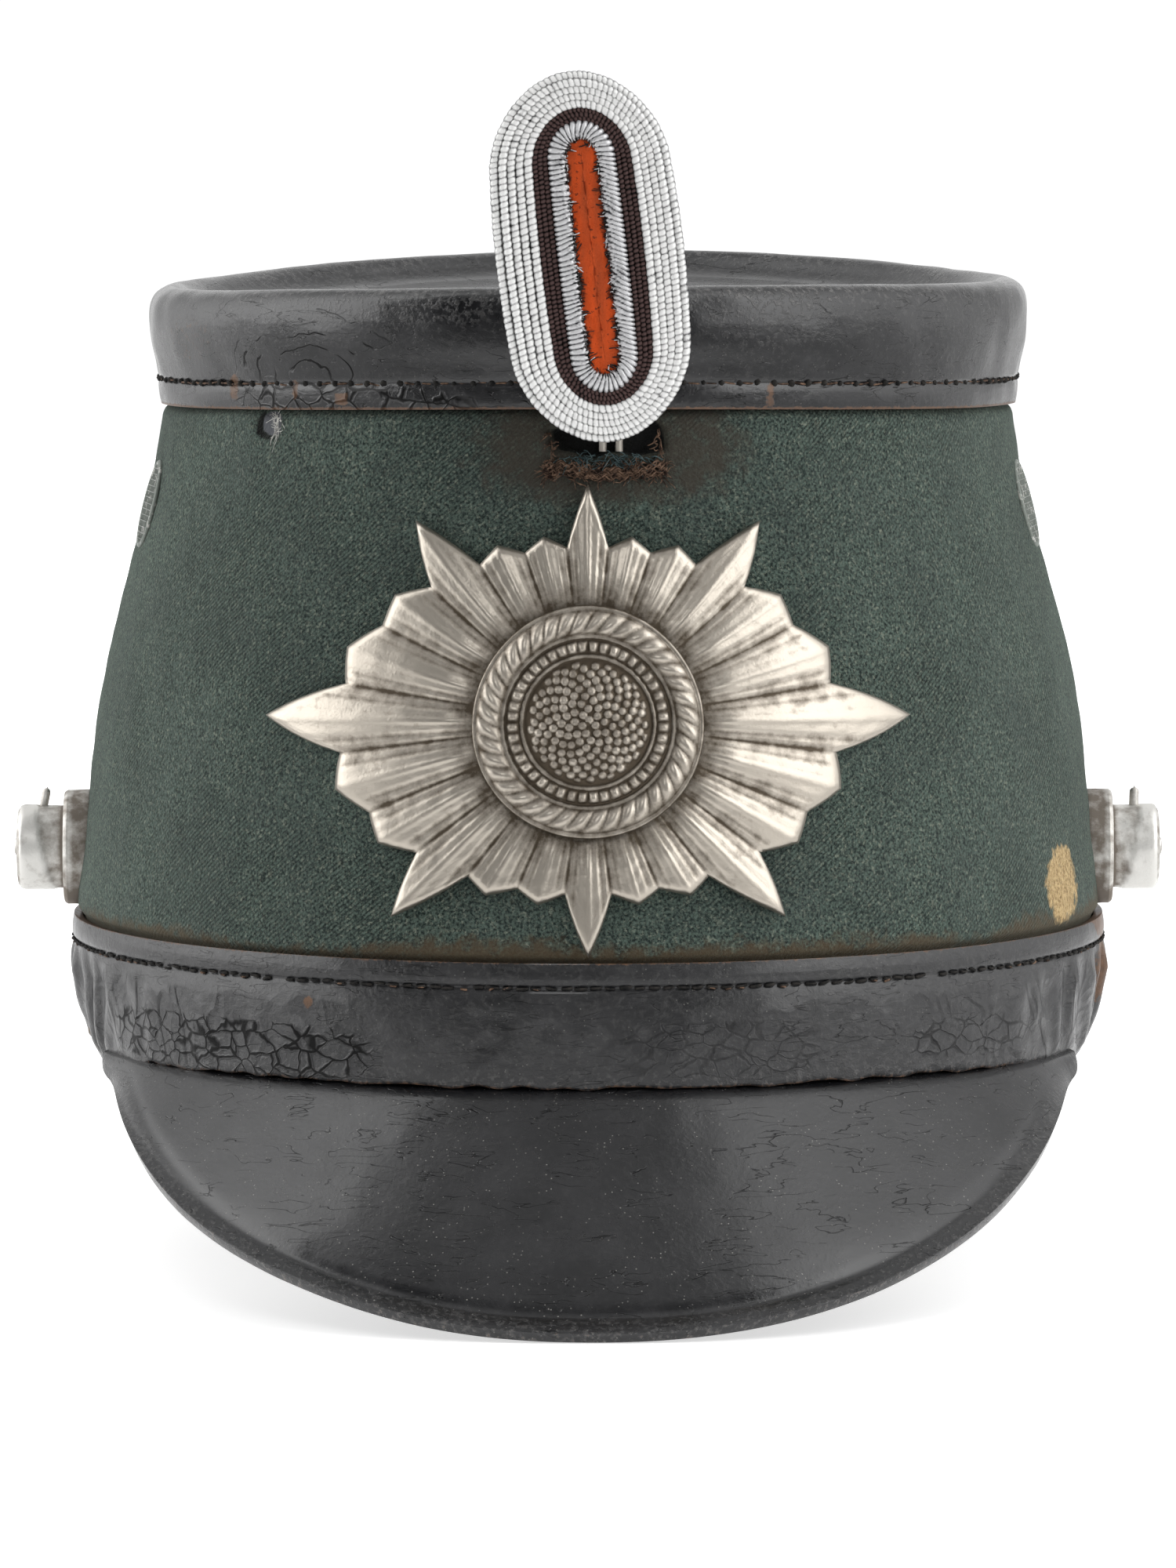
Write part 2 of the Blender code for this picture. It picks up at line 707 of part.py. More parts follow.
def build_star(collection, material):
    """The rayed plate: ridges and valleys run from the boss's seat to a pointed outline."""
    sides = 2 * STAR_POINTS * RAYS_PER_POINT
    back = STAR_STANDOFF
    front = STAR_STANDOFF + STAR_WALL
    rings = [plate_ring(BOSS_RADIUS / 2, sides, back)]
    rings += [star_ring(share, back) for share in (0.0, 0.35, 0.7, 1.0)]
    rings += [star_ring(share, front, STAR_RELIEF * (1 - share / 2)) for share in (1.0, 0.6, 0.2)]
    rings += [star_ring(0.0, front), plate_ring(BOSS_RADIUS / 2, sides, front)]
    return bent_piece("badge_star", rings, (back, front), collection, material)


def build_boss(collection, material):
    """The boss on the star: a dome in a round groove, in a rounded border."""
    back = STAR_STANDOFF + STAR_WALL + FLANGE_CLEARANCE
    rings = [plate_ring(share * BOSS_RADIUS, BOSS_SIDES, back) for share in (0.5, 1.0)]
    for radius, rise_share in reversed(BOSS_PROFILE):
        rings.append(plate_ring(radius * BOSS_RADIUS, BOSS_SIDES, back + rise_share * BOSS_RISE))
    return bent_piece("badge_boss", rings, (back, back + BOSS_RISE), collection, material)


def main():
    """Builds the whole shako."""
    clear_scene()
    parts = make_collection("shako")
    cutters = make_collection("shako_cutters")
    materials = {
        "cloth": make_material("cloth", (0.052, 0.080, 0.066), 0.95),
        "leather": make_material("leather", (0.030, 0.031, 0.034), 0.42),
        "nickel": make_material("nickel", (0.60, 0.57, 0.52), 0.35, 1.0),
        "silver": make_material("silver_cord", (0.74, 0.74, 0.72), 0.45, 0.6),
        "dark": make_material("dark_cord", (0.035, 0.018, 0.016), 0.60),
        "felt": make_material("orange_felt", (0.55, 0.085, 0.020), 0.95),
        "core": make_material("core_leather", (0.10, 0.055, 0.035), 0.75),
        "vent": make_material("vent_paint", (0.10, 0.11, 0.10), 0.50, 0.6),
    }
    build_body(parts, cutters, materials["cloth"])
    build_crown(parts, materials["leather"])
    build_band(parts, materials["leather"])
    leather = materials["leather"]
    build_peak("front_peak", 0.0, FRONT_SPAN, FRONT_REACH, FRONT_CORNER_DROP, FRONT_SHAPE, parts, leather)
    build_peak("rear_peak", math.pi, REAR_SPAN, REAR_REACH, REAR_CORNER_DROP, REAR_SHAPE, parts, leather)
    build_cockade(parts, cutters, materials)
    build_star(parts, materials["nickel"])
    build_boss(parts, materials["nickel"])
    cutter = cloth_cutter(cutters, materials["cloth"])
    for name, side in (("right", -1), ("left", 1)):
        build_post("side_post_" + name, side * math.pi / 2, cutter, parts, cutters, materials["nickel"])
        build_vent("side_vent_" + name, side * VENT_TURN, parts, materials["vent"])


main()
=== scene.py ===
# %% [markdown]
# # Dressing a shako
#
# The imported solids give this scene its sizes: a cloth body, a leather crown, a band, two peaks, a cockade,
# a front plate, two strap posts and two vents. Here each of them gets its real surface. Most pieces are
# grids of points worked out by a formula, because a shako is a lofted thing: one oval at the hem, another
# at the crown, and a curve between them. Lengths below are metres, and MM turns a millimetre into metres.

import math

import bpy
import numpy as np
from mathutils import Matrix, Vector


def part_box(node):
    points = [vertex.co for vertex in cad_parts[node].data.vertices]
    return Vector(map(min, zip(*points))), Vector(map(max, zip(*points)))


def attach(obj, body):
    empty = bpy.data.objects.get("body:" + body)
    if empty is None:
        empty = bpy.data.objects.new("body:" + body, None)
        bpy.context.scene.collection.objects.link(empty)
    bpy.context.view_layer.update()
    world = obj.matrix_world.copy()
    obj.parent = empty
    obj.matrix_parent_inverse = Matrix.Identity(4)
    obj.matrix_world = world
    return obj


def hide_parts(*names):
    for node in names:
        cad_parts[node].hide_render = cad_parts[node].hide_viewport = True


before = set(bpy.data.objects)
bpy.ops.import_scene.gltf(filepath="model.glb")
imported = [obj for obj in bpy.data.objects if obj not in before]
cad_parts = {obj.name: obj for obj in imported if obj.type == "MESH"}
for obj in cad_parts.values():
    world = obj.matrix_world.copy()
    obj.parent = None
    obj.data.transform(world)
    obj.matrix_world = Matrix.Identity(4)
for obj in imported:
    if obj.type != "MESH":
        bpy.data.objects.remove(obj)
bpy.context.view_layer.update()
MM = 0.001
print("solids:", len(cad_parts))

# %% [markdown]
# ## Where the solids lie
#
# The heights of the leather pieces are read from the solids' boxes, so the looks follow the construction.
# The ovals are read the same way: the middle of the cap lies where the posts are, and each end of an oval
# is as far from there as the body reaches. A turn is the angle round the cap from the front towards +X.

# %% Heights and ovals


def corners(node):
    """The lowest and the highest corner of a solid, as two arrays."""
    low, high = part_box(node)
    return np.array(low), np.array(high)


body_low, body_high = corners("body")
crown_low, crown_high = corners("crown")
band_low, band_high = corners("base_band")
post_low, post_high = corners("side_post_left")
HEM = band_low[2]
BAND_TOP = band_high[2]
SEAM = crown_low[2]
OVAL_Y = (body_low[1] + body_high[1]) / 2
BASE_HALF_WIDTH = body_high[0]
BASE_REACH = (body_high[1] - body_low[1]) / 2
CROWN_BULGE = 2.45 * MM
CROWN_HALF_WIDTH = crown_high[0] - CROWN_BULGE - 0.7 * MM
CROWN_FRONT = OVAL_Y - crown_low[1] - CROWN_BULGE
CROWN_REAR = crown_high[1] - OVAL_Y - CROWN_BULGE
CROWN_RISE = 2.2 * MM
REAR_EXTRA_RISE = 1.5 * MM
CLOTH_HEIGHT = SEAM - BAND_TOP
print("seam at", round(SEAM / MM, 1), "mm, band top at", round(BAND_TOP / MM, 1), "mm")

# %% [markdown]
# ## One formula for the cap's face
#
# Cloth, crown, band, plate and posts all sit on the same face. It is written once: at each height the
# half width, front reach and rear reach are mixed between the crown's oval and the base's by a flare, and
# the turn places the point on that oval. The flare table is rounded by averaging it over a small window,
# which is a simple way to make a smooth curve of a few chosen rows.

# %% The cap's face
FALLS = (0.00, 0.10, 0.22, 0.35, 0.50, 0.65, 0.82, 1.00)
FLARES = (0.00, 0.08, 0.25, 0.44, 0.655, 0.80, 0.89, 1.00)
WINDOW = np.linspace(-0.05, 0.05, 5)


def hat(turn, height, out=0.0, shrink=1.0):
    """Points of the cap's face. x is the half width times sin(turn), y the reach times cos(turn); out
    moves them outwards, and shrink draws them towards the middle."""
    turn, height, out = np.broadcast_arrays(turn, height, out)
    fall = np.clip((SEAM - height) / CLOTH_HEIGHT, 0.0, 1.0)
    flare = sum(np.interp(fall + shift, FALLS, FLARES) for shift in WINDOW) / len(WINDOW)
    front = CROWN_FRONT + flare * (BASE_REACH - CROWN_FRONT)
    rear = CROWN_REAR + flare * (BASE_REACH - CROWN_REAR)
    half_width = CROWN_HALF_WIDTH + flare * (BASE_HALF_WIDTH - CROWN_HALF_WIDTH)
    reach = np.where(np.cos(turn) > 0, front, rear)
    lift = CROWN_RISE + REAR_EXTRA_RISE * np.clip(-np.cos(turn), 0.0, 1.0)
    share = np.clip((height - BAND_TOP) / CLOTH_HEIGHT, 0.0, 1.0)
    x = (half_width + out) * np.sin(turn) * shrink
    y = OVAL_Y - (reach + out) * np.cos(turn) * shrink
    z = height + share * lift * np.cos(turn) ** 2 * shrink
    return np.stack((x, y, z), axis=-1)


def turns(count):
    """Equal turns all the way round, starting at the back so that every seam lies there."""
    return np.linspace(-math.pi, math.pi, count, endpoint=False)


def smooth_curve(rows, count):
    """A Catmull-Rom curve: each stretch is a cubic through its two rows, and its slope at each row is
    half the step between that row's neighbours."""
    rows = np.asarray(rows, float)
    padded = np.vstack((2 * rows[0] - rows[1], rows, 2 * rows[-1] - rows[-2]))
    where = np.linspace(0.0, len(rows) - 1 - 1e-9, count)
    step = where.astype(int)
    t = (where - step)[:, None]
    a, b, c, d = (padded[step + k] for k in range(4))
    return 0.5 * (2 * b + (c - a) * t + (2 * a - 5 * b + 4 * c - d) * t**2 + (3 * b - a - 3 * c + d) * t**3)


print("half width at the seam", round(float(hat(math.pi / 2, SEAM)[0]) / MM, 1), "mm")

# %% [markdown]
# ## From arrays to meshes
#
# Two helpers make almost every mesh. One skins a grid of points; the other carries a ring of points along
# many paths at once, for cords, threads and stitches. Both hand whole arrays to from_pydata. Another gives
# smooth unevenness: a sum of waves with random directions has no seam and no favourite axis. The rest store
# painted numbers, a UV map and a wall.

# %% Mesh helpers


def make_piece(name, points, faces, node=None, slot=None):
    """A smooth-shaded object on the root body from points and lists of faces."""
    mesh = bpy.data.meshes.new(name)
    mesh.from_pydata(points.reshape(-1, 3).tolist(), [], [face for part in faces for face in part.tolist()])
    mesh.shade_smooth()
    piece = bpy.data.objects.new(name, mesh)
    bpy.context.scene.collection.objects.link(piece)
    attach(piece, "root")
    if node:
        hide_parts(node)
    return piece


def grid_faces(rows, columns, wrap=True, offset=0):
    """Quads between neighbouring rows and columns of a grid, facing outwards for rows that rise."""
    row = np.arange(rows - 1)[:, None] * columns
    column = np.arange(columns if wrap else columns - 1)[None, :]
    following = (column + 1) % columns
    quads = np.stack((row + column, row + following, row + columns + following, row + columns + column), -1)
    return quads.reshape(-1, 4) + offset


def skin(name, points, wrap=True, start=None, end=None, **place):
    """A surface through a grid of points (rows, columns, 3). start and end close the first and the last
    row with a fan of triangles to one point."""
    rows, columns = points.shape[:2]
    faces = [grid_faces(rows, columns, wrap)]
    flat = [points.reshape(-1, 3)]
    ring = np.arange(columns)
    following = (ring + 1) % columns
    count = rows * columns
    if start is not None:
        faces.append(np.stack((following, ring, np.full(columns, count)), -1))
        flat.append(np.reshape(start, (1, 3)))
        count += 1
    if end is not None:
        last = (rows - 1) * columns
        faces.append(np.stack((last + ring, last + following, np.full(columns, count)), -1))
        flat.append(np.reshape(end, (1, 3)))
    return make_piece(name, np.concatenate(flat), faces, **place)


def unit(vectors):
    """Vectors of length one."""
    return vectors / np.maximum(np.linalg.norm(vectors, axis=-1, keepdims=True), 1e-12)


def tubes(name, centres, radius, sides=6, reference=(0.0, 0.0, 1.0), closed=False, **place):
    """Tubes along many paths at once. centres is (paths, steps, 3) and radius fits (paths, steps, sides).
    Each ring is the centre plus radius times cos and sin of two directions square to the path. Open tubes
    end in a point just past their last ring."""
    paths, steps = centres.shape[:2]
    if closed:
        along = unit(np.roll(centres, -1, axis=1) - np.roll(centres, 1, axis=1))
    else:
        along = unit(np.gradient(centres, axis=1))
    across = unit(np.cross(along, np.broadcast_to(reference, along.shape)))
    upward = np.cross(across, along)
    angle = np.linspace(0.0, 2 * math.pi, sides, endpoint=False)
    radius = np.broadcast_to(radius, (paths, steps, sides))[..., None]
    ring = np.cos(angle)[:, None] * across[:, :, None] + np.sin(angle)[:, None] * upward[:, :, None]
    points = centres[:, :, None] + radius * ring
    one = grid_faces(steps, sides)
    if closed:
        last = (steps - 1) * sides + np.arange(sides)
        shifted = (steps - 1) * sides + (np.arange(sides) + 1) % sides
        joint = np.stack((last, shifted, (np.arange(sides) + 1) % sides, np.arange(sides)), -1)
        one = np.concatenate((one, joint))
    starts = (np.arange(paths) * steps * sides)[:, None, None]
    faces = [(one[None] + starts).reshape(-1, 4)]
    flat = [points.reshape(-1, 3)]
    if not closed:
        ring_index = np.arange(sides)
        following = (ring_index + 1) % sides
        tip = radius[:, 0, 0] * 0.5
        flat.append(centres[:, 0] - along[:, 0] * tip)
        flat.append(centres[:, -1] + along[:, -1] * tip)
        total = paths * steps * sides
        base = (np.arange(paths) * steps * sides)[:, None]
        first_tip = np.broadcast_to(total + np.arange(paths)[:, None], (paths, sides))
        last_tip = first_tip + paths
        end = base + (steps - 1) * sides
        faces.append(np.stack((base + following, base + ring_index, first_tip), -1).reshape(-1, 3))
        faces.append(np.stack((end + ring_index, end + following, last_tip), -1).reshape(-1, 3))
    return make_piece(name, np.concatenate(flat), faces, **place)


def waves(points, size, seed):
    """Smooth unevenness between about -1 and 1: a sum of sine waves in random directions, whose lengths
    lie between one and two times the size given."""
    count = 20
    random = np.random.default_rng(seed)
    directions = unit(random.normal(size=(count, 3)))
    directions = directions * (2 * math.pi / size) / random.uniform(1, 2, (count, 1))
    phases = random.uniform(0, 2 * math.pi, count)
    flat = points.reshape(-1, 3) @ directions.T + phases
    return (np.sin(flat).sum(axis=1) * math.sqrt(2.0 / count) * 0.6).reshape(points.shape[:-1])


def paint(piece, name, values):
    """Stores one number for each point of a piece, for its material to read."""
    store = piece.data.attributes.new(name, "FLOAT", "POINT")
    full = np.zeros(len(piece.data.vertices), np.float32)
    flat = np.ravel(values)
    full[: len(flat)] = flat
    store.data.foreach_set("value", full)


def lay_map(piece, points):
    """Gives a closed grid its own UV map named face, in metres: the mean way round for the columns, and the
    mean way up for the rows. The last column ends at the whole way round, so the map has no seam fault."""
    round_steps = np.linalg.norm(np.roll(points, -1, axis=1) - points, axis=2).mean(axis=0)
    up_steps = np.linalg.norm(np.diff(points, axis=0), axis=2).mean(axis=1)
    u = np.concatenate(([0.0], np.cumsum(round_steps)))
    v = np.concatenate(([0.0], np.cumsum(up_steps)))
    rows, columns = len(v) - 1, len(u) - 1
    corners_u = np.stack((u[:-1], u[1:], u[1:], u[:-1]), -1)[None] + np.zeros((rows, columns, 4))
    corners_v = np.stack((v[:-1], v[:-1], v[1:], v[1:]), -1)[:, None] + np.zeros((rows, columns, 4))
    piece.data.uv_layers.new(name="face").data.foreach_set("uv", np.stack((corners_u, corners_v), -1).ravel())


def give_wall(piece, thickness, edge=None):
    """Gives an open surface its wall inwards, and rounds the wall's edges where edge is given."""
    wall = piece.modifiers.new("Wall", "SOLIDIFY")
    wall.thickness = thickness
    wall.offset = -1.0
    if edge:
        rounding = piece.modifiers.new("Rounding", "BEVEL")
        rounding.width = edge
        rounding.segments = 2
        rounding.limit_method = "ANGLE"
        rounding.angle_limit = math.radians(50)


# %% [markdown]
# ## A small kit for finishes
#
# Old cloth, leather and metal are all built the same way: a base colour, patches of another colour where a
# noise is high, and a bump. Its first class works on any tree of nodes, and the second one on a material.
# Every number that is the same all over a piece goes straight onto the shader's own socket.

# %% Finish helpers


class Recipe:
    """A tree of nodes, with a method for each kind of arithmetic."""

    def __init__(self, tree):
        self.tree = tree

    def put(self, node, socket, value):
        """Links a socket, or sets its own value."""
        if isinstance(value, bpy.types.NodeSocket):
            self.tree.links.new(value, node.inputs[socket])
        elif isinstance(value, tuple) and node.inputs[socket].type == "RGBA":
            node.inputs[socket].default_value = (*value, 1.0)
        else:
            node.inputs[socket].default_value = value

    def add(self, kind, inputs, output=0, **settings):
        """Adds a node with its settings and inputs, and returns one of its outputs."""
        node = self.tree.nodes.new("ShaderNode" + kind)
        for name, value in settings.items():
            setattr(node, name, value)
        for socket, value in inputs.items():
            self.put(node, socket, value)
        return node.outputs[output]

    def split(self, vector):
        """The x, y and z of a vector."""
        return self.add("SeparateXYZ", {0: vector}).node.outputs[:]

    def spread(self, value, low, high, to_low=0.0, to_high=1.0, easing="LINEAR"):
        """Stretches a range of values over another, without going past its ends."""
        inputs = {"Value": value, "From Min": low, "From Max": high, "To Min": to_low, "To Max": to_high}
        return self.add("MapRange", inputs, interpolation_type=easing)

    def sum(self, a, b, operation="ADD"):
        """Arithmetic on two values: their sum unless another operation is named."""
        return self.add("Math", {0: a, 1: b}, operation=operation)

    def times(self, a, b):
        """The product of two values."""
        return self.sum(a, b, "MULTIPLY")


class Finish(Recipe):
    """A Principled material, with the patterns that its colour, gloss and bump are mixed from."""

    def __init__(self, name, **constants):
        self.material = bpy.data.materials.new(name)
        self.material.use_nodes = True
        super().__init__(self.material.node_tree)
        self.shader = self.tree.nodes["Principled BSDF"]
        for socket, value in constants.items():
            self.put(self.shader, socket.replace("_", " "), value)
        self.place = self.tree.nodes.new("ShaderNodeTexCoord").outputs["Object"]

    def noise(self, size, detail=3.0, stretch=None, roughness=0.55, distortion=0.0):
        """Noise whose features are about the given size, stretched along an axis where asked."""
        place = self.place
        if stretch:
            place = self.add("Mapping", {"Vector": place, "Scale": stretch})
        inputs = {"Vector": place, "Scale": 1.0 / size, "Detail": detail, "Roughness": roughness}
        return self.add("TexNoise", {**inputs, "Distortion": distortion})

    def cells(self, size, place=None, feature="F1"):
        """Distance in a pattern of cells of about the given size."""
        inputs = {"Vector": self.place if place is None else place, "Scale": 1.0 / size}
        return self.add("TexVoronoi", inputs, output="Distance", feature=feature)

    def wobble(self, size, amount):
        """A vector noise of a given reach, to make other patterns uneven."""
        noise = self.add("TexNoise", {"Vector": self.place, "Scale": 1.0 / size}, output="Color")
        centred = self.add("VectorMath", {0: noise, 1: (0.5, 0.5, 0.5)}, operation="SUBTRACT")
        return self.add("VectorMath", {0: centred, "Scale": amount}, operation="SCALE")

    def contour(self, noise):
        """How far a noise is from its middle value: 0 along lines that wind like contours on a map."""
        return self.sum(self.sum(noise, 0.5, "SUBTRACT"), 0.0, "ABSOLUTE")

    def mix(self, share, a, b):
        """A mix of two colours."""
        return self.add("Mix", {"Factor": share, 6: a, 7: b}, output=2, data_type="RGBA")

    def painted(self, name):
        """A number stored on the piece's points."""
        return self.add("Attribute", {}, output="Fac", attribute_name=name)

    def bump(self, height, depth, after=None):
        """A bump of a given depth in metres, on top of another one where given."""
        inputs = {"Height": height, "Distance": depth, "Strength": 1.0}
        if after is not None:
            inputs["Normal"] = after
        return self.add("Bump", inputs)

    def finish(self, **links):
        """Links the shader's sockets and returns the material."""
        for socket, value in links.items():
            self.put(self.shader, socket.replace("_", " "), value)
        return self.material


# %% [markdown]
# ## Woollen cloth
#
# The body wears a dark blue-green woollen cloth, milled until the weave all but disappears. Close to, it is
# a speckle of dark, green and pale fibres. Three noises give those fibres, a sheen gives the pale bloom of
# wool seen edge-on, and painted numbers on the mesh say where dirt, the stain and the worn spot lie, and
# where painted shade darkens the pocket's slit and the edge of the worn hole.

# %% Cloth finish
TWILL_STEP = 0.86 * MM


def cloth_finish():
    """Woollen cloth from three sizes of noise over a fine diagonal twill, with dirt, a stain, painted shade
    in the pocket's slit and at the worn hole's edge, and bare threads where painted."""
    cloth = Finish("woollen_cloth", Roughness=0.92, Sheen_Weight=0.12, Sheen_Roughness=0.45,
                   Sheen_Tint=(0.76, 0.86, 0.76), Specular_IOR_Level=0.15)
    fibres = cloth.noise(0.45 * MM, 2.0)
    specks = cloth.noise(0.65 * MM, 3.0, roughness=0.7)
    patches = cloth.noise(14 * MM, 4.0)
    colour = cloth.mix(cloth.spread(fibres, 0.36, 0.64), (0.0075, 0.0130, 0.0120), (0.080, 0.112, 0.093))
    colour = cloth.mix(cloth.spread(specks, 0.54, 0.72), colour, (0.19, 0.21, 0.165))
    colour = cloth.mix(cloth.spread(patches, 0.35, 0.75, 0.0, 0.40), colour, (0.034, 0.042, 0.041))
    across, upward, _ = cloth.split(cloth.add("UVMap", {}, output="UV", uv_map="face"))
    slant = cloth.sum(cloth.times(across, 0.8), upward, "SUBTRACT")
    slant = cloth.sum(slant, cloth.times(cloth.noise(1.6 * MM, 2.0), 0.5 * MM))
    twill = cloth.spread(cloth.sum(cloth.times(slant, 2 * math.pi / TWILL_STEP), 0.0, "SINE"), -0.3, 0.9)
    twill = cloth.times(twill, cloth.spread(cloth.noise(22 * MM, 3.0), 0.40, 0.62, 0.05, 0.55))
    colour = cloth.mix(twill, colour, (0.0065, 0.010, 0.009))
    ragged = cloth.spread(cloth.noise(2.2 * MM, 4.0), 0.3, 0.7, -0.35, 0.35)
    dirt = cloth.spread(cloth.sum(cloth.painted("dirt"), ragged), 0.35, 0.85, 0.0, 0.85)
    colour = cloth.mix(dirt, colour, (0.060, 0.042, 0.024))
    grime = cloth.spread(cloth.sum(cloth.painted("grime"), ragged), 0.2, 0.9, 0.0, 0.85)
    colour = cloth.mix(grime, colour, (0.038, 0.032, 0.025))
    stain = cloth.spread(cloth.sum(cloth.painted("stain"), ragged), 0.42, 0.75, 0.0, 0.85)
    stained = cloth.mix(cloth.spread(specks, 0.35, 0.60), (0.21, 0.125, 0.045), (0.55, 0.40, 0.20))
    colour = cloth.mix(stain, colour, stained)
    worn = cloth.spread(cloth.painted("worn"), 0.45, 0.6)
    colour = cloth.mix(worn, colour, (0.075, 0.078, 0.088))
    # Painted shade: near black where the pocket's slit and a crescent at the worn hole's edge lie in shadow.
    hollow_shade = cloth.spread(cloth.painted("hollow_shade"), 0.35, 0.6)
    colour = cloth.mix(hollow_shade, colour, (0.003, 0.003, 0.003))
    bump = cloth.bump(cloth.noise(0.5 * MM, 3.0, roughness=0.7), 0.35 * MM)
    bump = cloth.bump(cloth.times(twill, -1.0), 0.12 * MM, bump)
    bump = cloth.bump(patches, 0.8 * MM, bump)
    return cloth.finish(Base_Color=colour, Normal=bump)


CLOTH = cloth_finish()
print("finish:", CLOTH.name)

# %% [markdown]
# ## Lacquered leather
#
# Crown, band and peaks are black leather with an old lacquer that has greyed, scuffed and cracked. One
# recipe serves them all, with painted numbers for what differs: how cracked a place is, and how far its edge
# is rubbed to grey or worn to raw brown. The cracks are the edges of a cell pattern, wobbled by noise. They
# are painted near black and mixed towards a black metal, which takes the gloss of the lacquer away inside
# them: painted shade for the shadow in the cracks, the hairlines and the ring cracks.

# %% Cracks in lacquer
CRACK_SIZE = 3.8 * MM
RING_STEP = 2.3 * MM


def crack_net(leather):
    """A net of cracks where painted, and the raised lips beside them: near the edges of stretched cells."""
    place = leather.add("Mapping", {"Vector": leather.place, "Scale": (0.90, 0.90, 1.5)})
    place = leather.add("VectorMath", {0: place, 1: leather.wobble(4 * MM, 2.6 * MM)}, operation="ADD")
    width = leather.spread(leather.noise(6 * MM, 3.0), 0.38, 0.62, 0.02, 0.11)
    gap = leather.sum(leather.cells(CRACK_SIZE, place, "DISTANCE_TO_EDGE"), width, "DIVIDE")
    cracked = leather.spread(leather.painted("cracked"), 0.25, 0.6)
    lines = leather.times(leather.spread(gap, 0.3, 1.2, 1.0, 0.0), cracked)
    lips = leather.times(leather.spread(gap, 1.0, 2.2, 1.0, 0.0), cracked)
    return lines, lips


def ring_cracks(leather, middle):
    """Broken rings over a point, as a knock leaves them: a sine of the distance from it, where the distance
    is stretched and wobbled a little."""
    away = leather.add("VectorMath", {0: leather.place, 1: middle}, operation="SUBTRACT")
    above = leather.spread(leather.split(away)[2], -3 * MM, 1 * MM)
    away = leather.add("Mapping", {"Vector": away, "Scale": (0.85, 0.6, 1.35)})
    away = leather.add("VectorMath", {0: away}, output="Value", operation="LENGTH")
    away = leather.sum(away, leather.times(leather.noise(6 * MM, 2.0), 3.5 * MM))
    rings = leather.sum(leather.times(away, 2 * math.pi / RING_STEP), 0.0, "SINE")
    outside = leather.spread(away, 4 * MM, 6 * MM)
    inside = leather.spread(away, 15 * MM, 19 * MM, 1.0, 0.0)
    here = leather.times(leather.times(outside, inside), above)
    broken = leather.spread(leather.noise(7 * MM, 2.0), 0.46, 0.52)
    return leather.times(leather.times(leather.spread(rings, 0.90, 0.985), here), broken)


print("cracks about", CRACK_SIZE / MM, "mm apart, rings", RING_STEP / MM, "mm apart")

# %% Leather finish


def leather_finish(name, roughness, dust, wrinkles=0.10 * MM, hairs=0.6, rings_at=None, creases=0.0):
    """Black lacquered leather: a fine grain, soft scuffs, dust, hairlines, a network of cracks where painted,
    brown raw edges where painted, ring cracks over a point where given, and creases where painted."""
    leather = Finish(name, Specular_IOR_Level=0.40, Coat_Weight=0.22, Coat_Roughness=0.08)
    scuffs = leather.noise(10 * MM, 6.0, roughness=0.6)
    grain = leather.noise(0.9 * MM, 4.0, roughness=0.7)
    colour = leather.spread(scuffs, 0.40, 0.75)
    colour = leather.mix(colour, (0.0064, 0.0066, 0.0075), (0.0155, 0.0155, 0.017))
    rubbed = leather.spread(leather.noise(0.9 * MM, 5.0), 0.50, 0.66)
    rubbed = leather.times(rubbed, leather.painted("rubbed"))
    colour = leather.mix(rubbed, colour, (0.085, 0.082, 0.080))
    specks = leather.spread(leather.cells(1.0 * MM), 0.08, 0.15, dust, 0.0)
    specks = leather.times(specks, leather.spread(leather.noise(7 * MM, 3.0), 0.40, 0.60))
    colour = leather.mix(specks, colour, (0.20, 0.195, 0.18))
    lines, lips = crack_net(leather)
    hair = leather.contour(leather.noise(9 * MM, 2.0, (1.0, 1.0, 5.0), 0.5, 0.5))
    hair = leather.times(leather.spread(hair, 0.002, 0.010, hairs, 0.0),
                         leather.spread(leather.noise(8 * MM, 3.0), 0.48, 0.56))
    if rings_at is not None:
        lines = leather.sum(lines, ring_cracks(leather, rings_at), "MAXIMUM")
    # Painted shade: cracks, hairlines and ring cracks are coloured near black, as the shadow inside them.
    painted_line_shade = leather.sum(lines, hair, "MAXIMUM")
    colour = leather.mix(leather.times(painted_line_shade, 0.92), colour, (0.0022, 0.0020, 0.0020))
    raw = leather.sum(leather.painted("raw"), leather.spread(grain, 0.3, 0.7, -0.3, 0.3))
    raw = leather.spread(raw, 0.4, 0.7)
    brown = leather.mix(leather.noise(1.3 * MM), (0.030, 0.016, 0.010), (0.15, 0.078, 0.040))
    colour = leather.mix(raw, colour, brown)
    gloss = leather.spread(scuffs, 0.35, 0.7, *roughness)
    gloss = leather.sum(gloss, leather.times(leather.sum(raw, leather.sum(specks, lines)), 0.35))
    bump = leather.bump(grain, 0.03 * MM)
    bump = leather.bump(leather.noise(3.5 * MM, 6.0, (1.0, 1.0, 1.6), 0.62, 0.6), wrinkles, bump)
    depth = leather.sum(leather.times(lips, 0.4), leather.sum(lines, hair), "SUBTRACT")
    bump = leather.bump(depth, 0.25 * MM, bump)
    if creases:
        fold = leather.contour(leather.noise(11 * MM, 1.0, (1.0, 1.0, 0.8), 0.5, 1.2))
        fold = leather.times(leather.spread(fold, 0.0, 0.09, 1.0, 0.0), leather.painted("creased"))
        bump = leather.bump(fold, creases, bump)
    bump = leather.bump(rubbed, 0.10 * MM, bump)
    # The same painted shade as metal, so that the lacquer's gloss is gone inside the cracks.
    metallic = leather.times(painted_line_shade, 0.9)
    return leather.finish(Base_Color=colour, Roughness=gloss, Normal=bump, Metallic=metallic)


